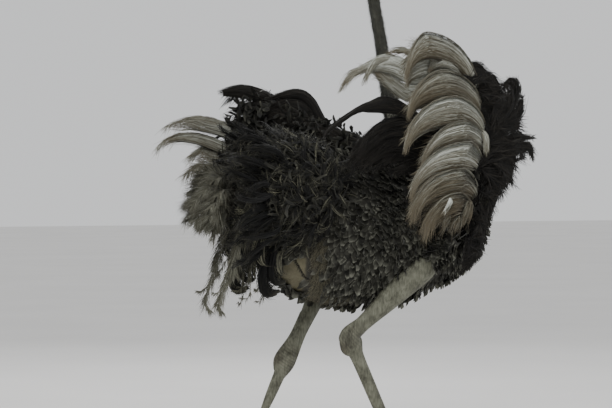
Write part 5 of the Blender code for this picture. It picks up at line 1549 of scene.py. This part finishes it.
def neck_roots(tree, share):
    """Places all round the neck's skin at shares of its length, its own direction, and places on the map."""
    turn = draw(0, TURN, len(share))
    here, ahead, across, up, half = neck_frame(share)
    roots, normals = snap(tree, here + spokes(across, up, turn) * half[:, None])
    return roots, normals, ahead, on_map("neck", share * 0.8, turn / TURN)


def neck_coat(body_tree, head_tree, head_points, material, dark):
    """Down on the neck, bristles on the head, and black feathers where the neck leaves the breast."""
    coat = Coat()
    share = 0.36 + 0.62 * rng.random(NECK_HAIRS)
    roots, normals, ahead, places = neck_roots(body_tree, share)
    flow = lie(normals, -ahead, 0.25)
    lengths = np.interp(share, (0.36, 0.5, 1.0), (0.02, 0.014, 0.011)) * draw(0.6, 1.3, NECK_HAIRS)
    bristles(coat, roots, flow, normals, lengths, places, lift=0.45, width=0.0009)
    roots, normals = snap(head_tree, head_points[rng.integers(0, len(head_points), HEAD_HAIRS)])
    forward = (roots - HEAD_BASE) @ HEAD_AHEAD
    chance = smoothstep(0.108, 0.08, forward) * (0.5 + 0.5 * smoothstep(-0.2, 0.5, normals @ HEAD_UP))
    for sign in (-1, 1):
        chance = chance * smoothstep(0.0275, 0.0345, distance(roots, eye_centre(sign)))
        chance = chance * smoothstep(0.004, 0.008, distance(roots, ear_place(sign)))
    roots, normals, forward = pick(rng.random(HEAD_HAIRS) < chance, roots, normals, forward)
    flow = lie(normals, -HEAD_AHEAD, 0.25)
    crown = smoothstep(0.3, 0.9, normals @ HEAD_UP)
    lengths = (0.0035 + 0.005 * crown) * draw(0.6, 1.3, len(roots)) * smoothstep(0.125, 0.07, forward)
    around = 0.5 + np.arctan2(normals[:, 1], normals @ HEAD_UP) / TURN
    bristles(coat, roots, flow, normals, lengths, on_map("neck", 0.8 + (forward + 0.03) * 1.4, around),
             lift=0.3, width=0.0005)
    coat.make("neck_down_coat", material, "neck_down")
    coat = Coat()
    share = draw(0.1, 0.44, NECK_SCALES)
    roots, normals, ahead, places = neck_roots(body_tree, share)
    flow = lie(normals, -ahead * 0.8 + (0, 0, -0.5), 0.2)
    length = np.interp(share, (0.1, 0.44), (0.05, 0.024))
    shells(coat, roots, flow, normals, length, length * 0.6, places, curl=0.15, tone=(0.0, 0.45))
    coat.make("neck_base_feathers", dark, "flank_feathers")


# ---------------------------------------------------------------- eyes, bill and claws
def turned(name, points, material, slot, node, close, **marks):
    """A piece of closed rings of points, with numbers stored on them, closed by one bmesh tool."""
    rows, sides = points.shape[:2]
    made = new_mesh(name, points.reshape(-1, 3), grid_faces(1, rows, sides, closed=True), material)
    for title, values in marks.items():
        store(made.data, title, np.broadcast_to(values, (rows, sides)).ravel())
    bm = bmesh.new()
    bm.from_mesh(made.data)
    close(bm)
    bmesh.ops.recalc_face_normals(bm, faces=bm.faces)
    bm.to_mesh(made.data)
    bm.free()
    settle(made, slot, node)


def join_poles(bm):
    bmesh.ops.remove_doubles(bm, verts=bm.verts, dist=1e-5)


def fill_ends(bm):
    bmesh.ops.holes_fill(bm, edges=bm.edges, sides=0)


def make_eye(side, sign):
    """A brown eye with a round pupil under a clear wet surface."""
    shader = Shader(f"eye_{side}", 0.05, specular=0.28)
    material = shader.finish(shader.ramp(
        shader.value("away"), (0.0, (0.002, 0.002, 0.002)), (0.3, (0.002, 0.002, 0.002)),
        (0.34, (0.04, 0.019, 0.009)), (0.62, (0.026, 0.012, 0.006)), (0.72, (0.006, 0.004, 0.003)),
        (1.0, (0.05, 0.045, 0.04))))
    tilt = np.linspace(0, math.pi, 28)[:, None]
    turn = np.linspace(0, TURN, 48, endpoint=False)
    look = unit(np.array((0.28, sign * 1.0, 0.02)))
    side_way = unit(np.cross(look, (0, 0, 1.0)))
    up = np.cross(side_way, look)
    bulge = 1 + 0.035 * smoothstep(0.75, 0.2, tilt)
    ball = EYE_RADIUS * 0.985 * bulge[..., None] * (
        look * np.cos(tilt)[..., None]
        + side_way * (np.sin(tilt) * np.cos(turn))[..., None]
        + up * (np.sin(tilt) * np.sin(turn))[..., None]
    )
    turned(f"eyeball_{side}", eye_centre(sign) + ball, material, "eye", f"eye_{side}", join_poles,
           away=tilt / math.pi * 1.6)


def make_lashes(material):
    """Stiff bristles along each upper lid."""
    coat = Coat()
    count = LASHES
    for sign in (-1, 1):
        centre = eye_centre(sign)
        turn = np.radians(draw(15, 165, count))[:, None]
        rise = np.sin(turn) * 0.0128 - np.cos(turn) * 0.002
        out = unit(HEAD_AHEAD * np.cos(turn) * 0.0178 + HEAD_UP * rise + LEFTWARD * sign * 0.0145)
        flow = unit(HEAD_UP * 0.3 + LEFTWARD * sign * 0.9 + HEAD_AHEAD * (np.cos(turn) * 0.6 - 0.15))
        bristles(coat, centre + out * (EYE_RADIUS + 0.003), flow, out, draw(0.007, 0.011, count),
                 on_map("neck", 0.95, 0.5 + sign * 0.2), lift=0.1, width=0.0006, tone=(0.0, 0.2))
    coat.make("eyelashes", material, "neck_down")


# Each bill's distance from the head's base, lift of its mouth line, half width and height
UPPER_BILL = np.array((
    (0.09, 0.0, 0.0275, 0.0225), (0.1046, 0.0, 0.0282, 0.0205), (0.125, 0.0, 0.0278, 0.0168),
    (0.15, 0.0, 0.0258, 0.013), (0.175, -0.001, 0.0218, 0.011), (0.19, -0.003, 0.0165, 0.01),
    (0.199, -0.005, 0.01, 0.008), (0.2025, -0.0065, 0.003, 0.0045),
))
LOWER_BILL = np.array((
    (0.09, -0.0016, 0.0258, 0.0145), (0.1046, -0.0016, 0.0262, 0.0135), (0.125, -0.0016, 0.025, 0.0112),
    (0.15, -0.0016, 0.0226, 0.0092), (0.175, -0.0028, 0.0182, 0.0074), (0.188, -0.0046, 0.012, 0.0054),
    (0.196, -0.006, 0.005, 0.0034), (0.1975, -0.0064, 0.0015, 0.0015),
))


def hump(value, middle, width, power):
    """1 at the middle, and down to 0 on both sides; a greater power makes a flatter top."""
    return np.exp(-(((value - middle) / width) ** power))


def make_bill(name, table, way, material, node):
    """One bill: rounded, nearly flat at the mouth, with a ridge, nail and nostrils on the upper one."""
    rows, sides = 90, 72
    shares = np.linspace(0, 1, rows)[:, None]
    forward, lift, half, high = curve(table, shares[:, 0]).T[..., None]
    dark = np.zeros((rows, sides))
    turn = np.linspace(0, TURN, sides, endpoint=False)
    outer = np.maximum(np.sin(turn), 0) ** 0.75
    inner = np.minimum(np.sin(turn), 0) * 0.1
    level = way * (outer + inner) * high
    wide = np.sign(np.cos(turn)) * np.abs(np.cos(turn)) ** 0.75
    if way > 0:
        from_middle = np.abs(wide)
        ridge = hump(wide, 0, 0.22, 2) * np.interp(forward, (0.09, 0.11, 0.165, 0.2), (0.0, 0.0025, 0.002, 0))
        nostril = hump(forward, 0.145, 0.0085, 4) * hump(from_middle, 0.62, 0.14, 4)
        groove = smoothstep(0.1, 0.112, forward) * smoothstep(0.186, 0.17, forward)
        groove = groove * hump(from_middle, 0.56, 0.16, 2)
        nail = 0.0013 * smoothstep(0.177, 0.18, forward) * hump(wide, 0, 0.6, 6)
        level = level + (ridge - 0.0045 * nostril - 0.0016 * groove + nail) * (outer > 0.3)
        # The nostrils are marked darker: painted shade in their hollows.
        dark = nostril * (outer > 0.3)
    points = (
        HEAD_BASE
        + HEAD_AHEAD * forward[..., None]
        + LEFTWARD * (half * wide)[..., None]
        + HEAD_UP * (lift + level)[..., None]
    )
    # The bill's inner face at the mouth is marked darker too: painted shade between the bills.
    turned(name, points, material, "horn", node, fill_ends, along=shares, dark=dark + (inner < -0.04))


def make_claw(side, sign, material):
    """A blunt, thick nail over the end of the big toe, curved down to a worn tip."""
    tip = toe_tips(side)[0][1]
    end = np.array((tip[0] + 0.062, tip[1] - sign * 0.006, 0.008))
    start = tip + (-0.012, 0, 0.008)
    shares = np.linspace(0, 1, 26)
    here = curve((start, start + (end - start) * 0.5 + (0, 0, 0.005), end), shares)
    across, up = toe_frame(here)
    turn = np.linspace(0, TURN, 28, endpoint=False)
    wide, high = (np.interp(shares, (0, 0.12, 0.5, 0.85, 1), sizes)[:, None] for sizes in (
        (0.0165, 0.0175, 0.014, 0.0075, 0.002), (0.015, 0.016, 0.012, 0.0065, 0.002)))
    rise = np.cos(turn) * np.where(np.cos(turn) < 0, 0.7, 1.0)
    points = here[:, None] + across[:, None] * (wide * np.sin(turn))[..., None]
    points = points + up[:, None] * (high * rise)[..., None]
    points[..., 2] = np.maximum(points[..., 2], 0.0008)
    turned(f"nail_{side}", points, material, "horn", f"claw_{side}", fill_ends, along=shares[:, None])


# ---------------------------------------------------------------- floor, light and camera
def make_floor():
    shader = Shader("pale_floor", 0.9, specular=0.1)
    stops = (0.3, (0.76, 0.75, 0.735)), (0.7, (0.8, 0.79, 0.775))
    material = shader.finish(shader.ramp(shader.noise(0.8, 2.0), *stops))
    corners = np.array(((-1, -1, 0), (1, -1, 0), (1, 1, 0), (-1, 1, 0))) * FLOOR_REACH
    floor = new_mesh("floor", corners - SHIFT, np.array(((0, 1, 2, 3),)), material)


def aimed(name, data, place, target):
    """Adds a lamp or the camera, turned to its target."""
    made = bpy.data.objects.new(name, data)
    made.location = place
    made.rotation_euler = (Vector(target) - Vector(place)).to_track_quat("-Z", "Y").to_euler()
    bpy.context.scene.collection.objects.link(made)
    return made


def make_light():
    world = bpy.data.worlds.new("studio")
    world.use_nodes = True
    sky = world.node_tree.nodes["Background"].inputs
    sky["Color"].default_value = (0.9, 0.91, 0.92, 1.0)
    sky["Strength"].default_value = 0.9
    bpy.context.scene.world = world
    for name, place, size, power in (
        ("key", (-3.5, -4.5, 5.0), 3.0, 230),
        ("fill", (4.5, -3.0, 3.0), 4.0, 50),
        ("rim", (1.5, 5.0, 4.5), 3.0, 120),
    ):
        lamp = bpy.data.lights.new(name, "AREA")
        lamp.shape = "DISK"
        lamp.size = size
        lamp.energy = power
        aimed(name, lamp, place, (0.0, 0.0, 1.2))


def make_camera():
    """On the bird's right and a little behind it, level with its back, as the picture was taken."""
    lens = bpy.data.cameras.new("camera")
    lens.lens = LENS
    lens.sensor_width = 36.0
    back = np.array((-math.sin(BEARING), -math.cos(BEARING), 0.0))
    aside = np.array((math.cos(BEARING), -math.sin(BEARING), 0.0))
    target = SHIFT + VIEW_ASIDE * aside + (0, 0, VIEW_HEIGHT)
    place = target + VIEW_DISTANCE * back + (0, 0, VIEW_RISE)
    bpy.context.scene.camera = aimed("camera", lens, place, target)


# Each kind of plume: its dark, middle, light and tip colours, and where its tip's colour starts
PLUMES = {
    "black_plumes": (
        (0.003, 0.0028, 0.0025), (0.0075, 0.0068, 0.0058), (0.024, 0.021, 0.0165),
        (0.012, 0.01, 0.0075), 0.7),
    # Its light colour and paler tips paint highlights on black feathers.
    "shaggy_plumes": (
        (0.0022, 0.0022, 0.002), (0.0055, 0.0053, 0.0042), (0.19, 0.184, 0.13),
        (0.035, 0.033, 0.024), 0.7),
    "white_strands": (
        (0.08, 0.066, 0.042), (0.25, 0.25, 0.205), (0.56, 0.58, 0.525),
        (0.145, 0.122, 0.08), 0.66),
    "tail_strands": (
        (0.05, 0.046, 0.032), (0.135, 0.133, 0.1), (0.28, 0.28, 0.235),
        (0.075, 0.068, 0.048), 0.8),
    "neck_strands": (
        (0.016, 0.016, 0.012), (0.036, 0.036, 0.029), (0.07, 0.071, 0.06),
        (0.08, 0.083, 0.07), 0.45),
    "flank_hairs": (
        (0.006, 0.005, 0.004), (0.075, 0.068, 0.045), (0.155, 0.145, 0.1),
        (0.18, 0.165, 0.115), 0.6),
    "lash_strands": (
        (0.003, 0.003, 0.003), (0.005, 0.005, 0.005), (0.01, 0.01, 0.01),
        (0.004, 0.004, 0.004), 0.7),
}


def main():
    make_camera()
    make_light()
    make_floor()
    # The rim colours given to flank_scales and curled_vanes are painted highlight.
    flank = scale_material("flank_scales", (0.005, 0.005, 0.0042), (0.034, 0.033, 0.026), (0.23, 0.23, 0.185))
    curled = scale_material("curled_vanes", (0.0025, 0.0025, 0.0022), (0.01, 0.0098, 0.0078),
                            (0.085, 0.083, 0.062))
    black, shaggy, white, tail, down, hairs, lash = (plume_material(name, *PLUMES[name]) for name in PLUMES)
    horn = horn_material("bill_horn", (0.26, 0.22, 0.165), (0.12, 0.095, 0.068), 0.66)
    nail = horn_material("nail_horn", (0.16, 0.14, 0.105), (0.06, 0.05, 0.038), 0.7)

    body_tree, head_tree, head_points = make_skin(skin_material())
    flank_coat(body_tree, flank, hairs)
    rump_coat(shaggy, curled)
    tail_coat(tail)
    right_wing_black(black)
    right_wing_white(white)
    left_wing(black, white, curled)
    arm_coat(body_tree, curled)
    neck_coat(body_tree, head_tree, head_points, down, flank)
    for side, sign in SIDES.items():
        make_eye(side, sign)
        make_claw(side, sign, nail)
    make_lashes(lash)
    make_bill("bill_top", UPPER_BILL, 1, horn, "bill_upper")
    make_bill("bill_bottom", LOWER_BILL, -1, horn, "bill_lower")


main()
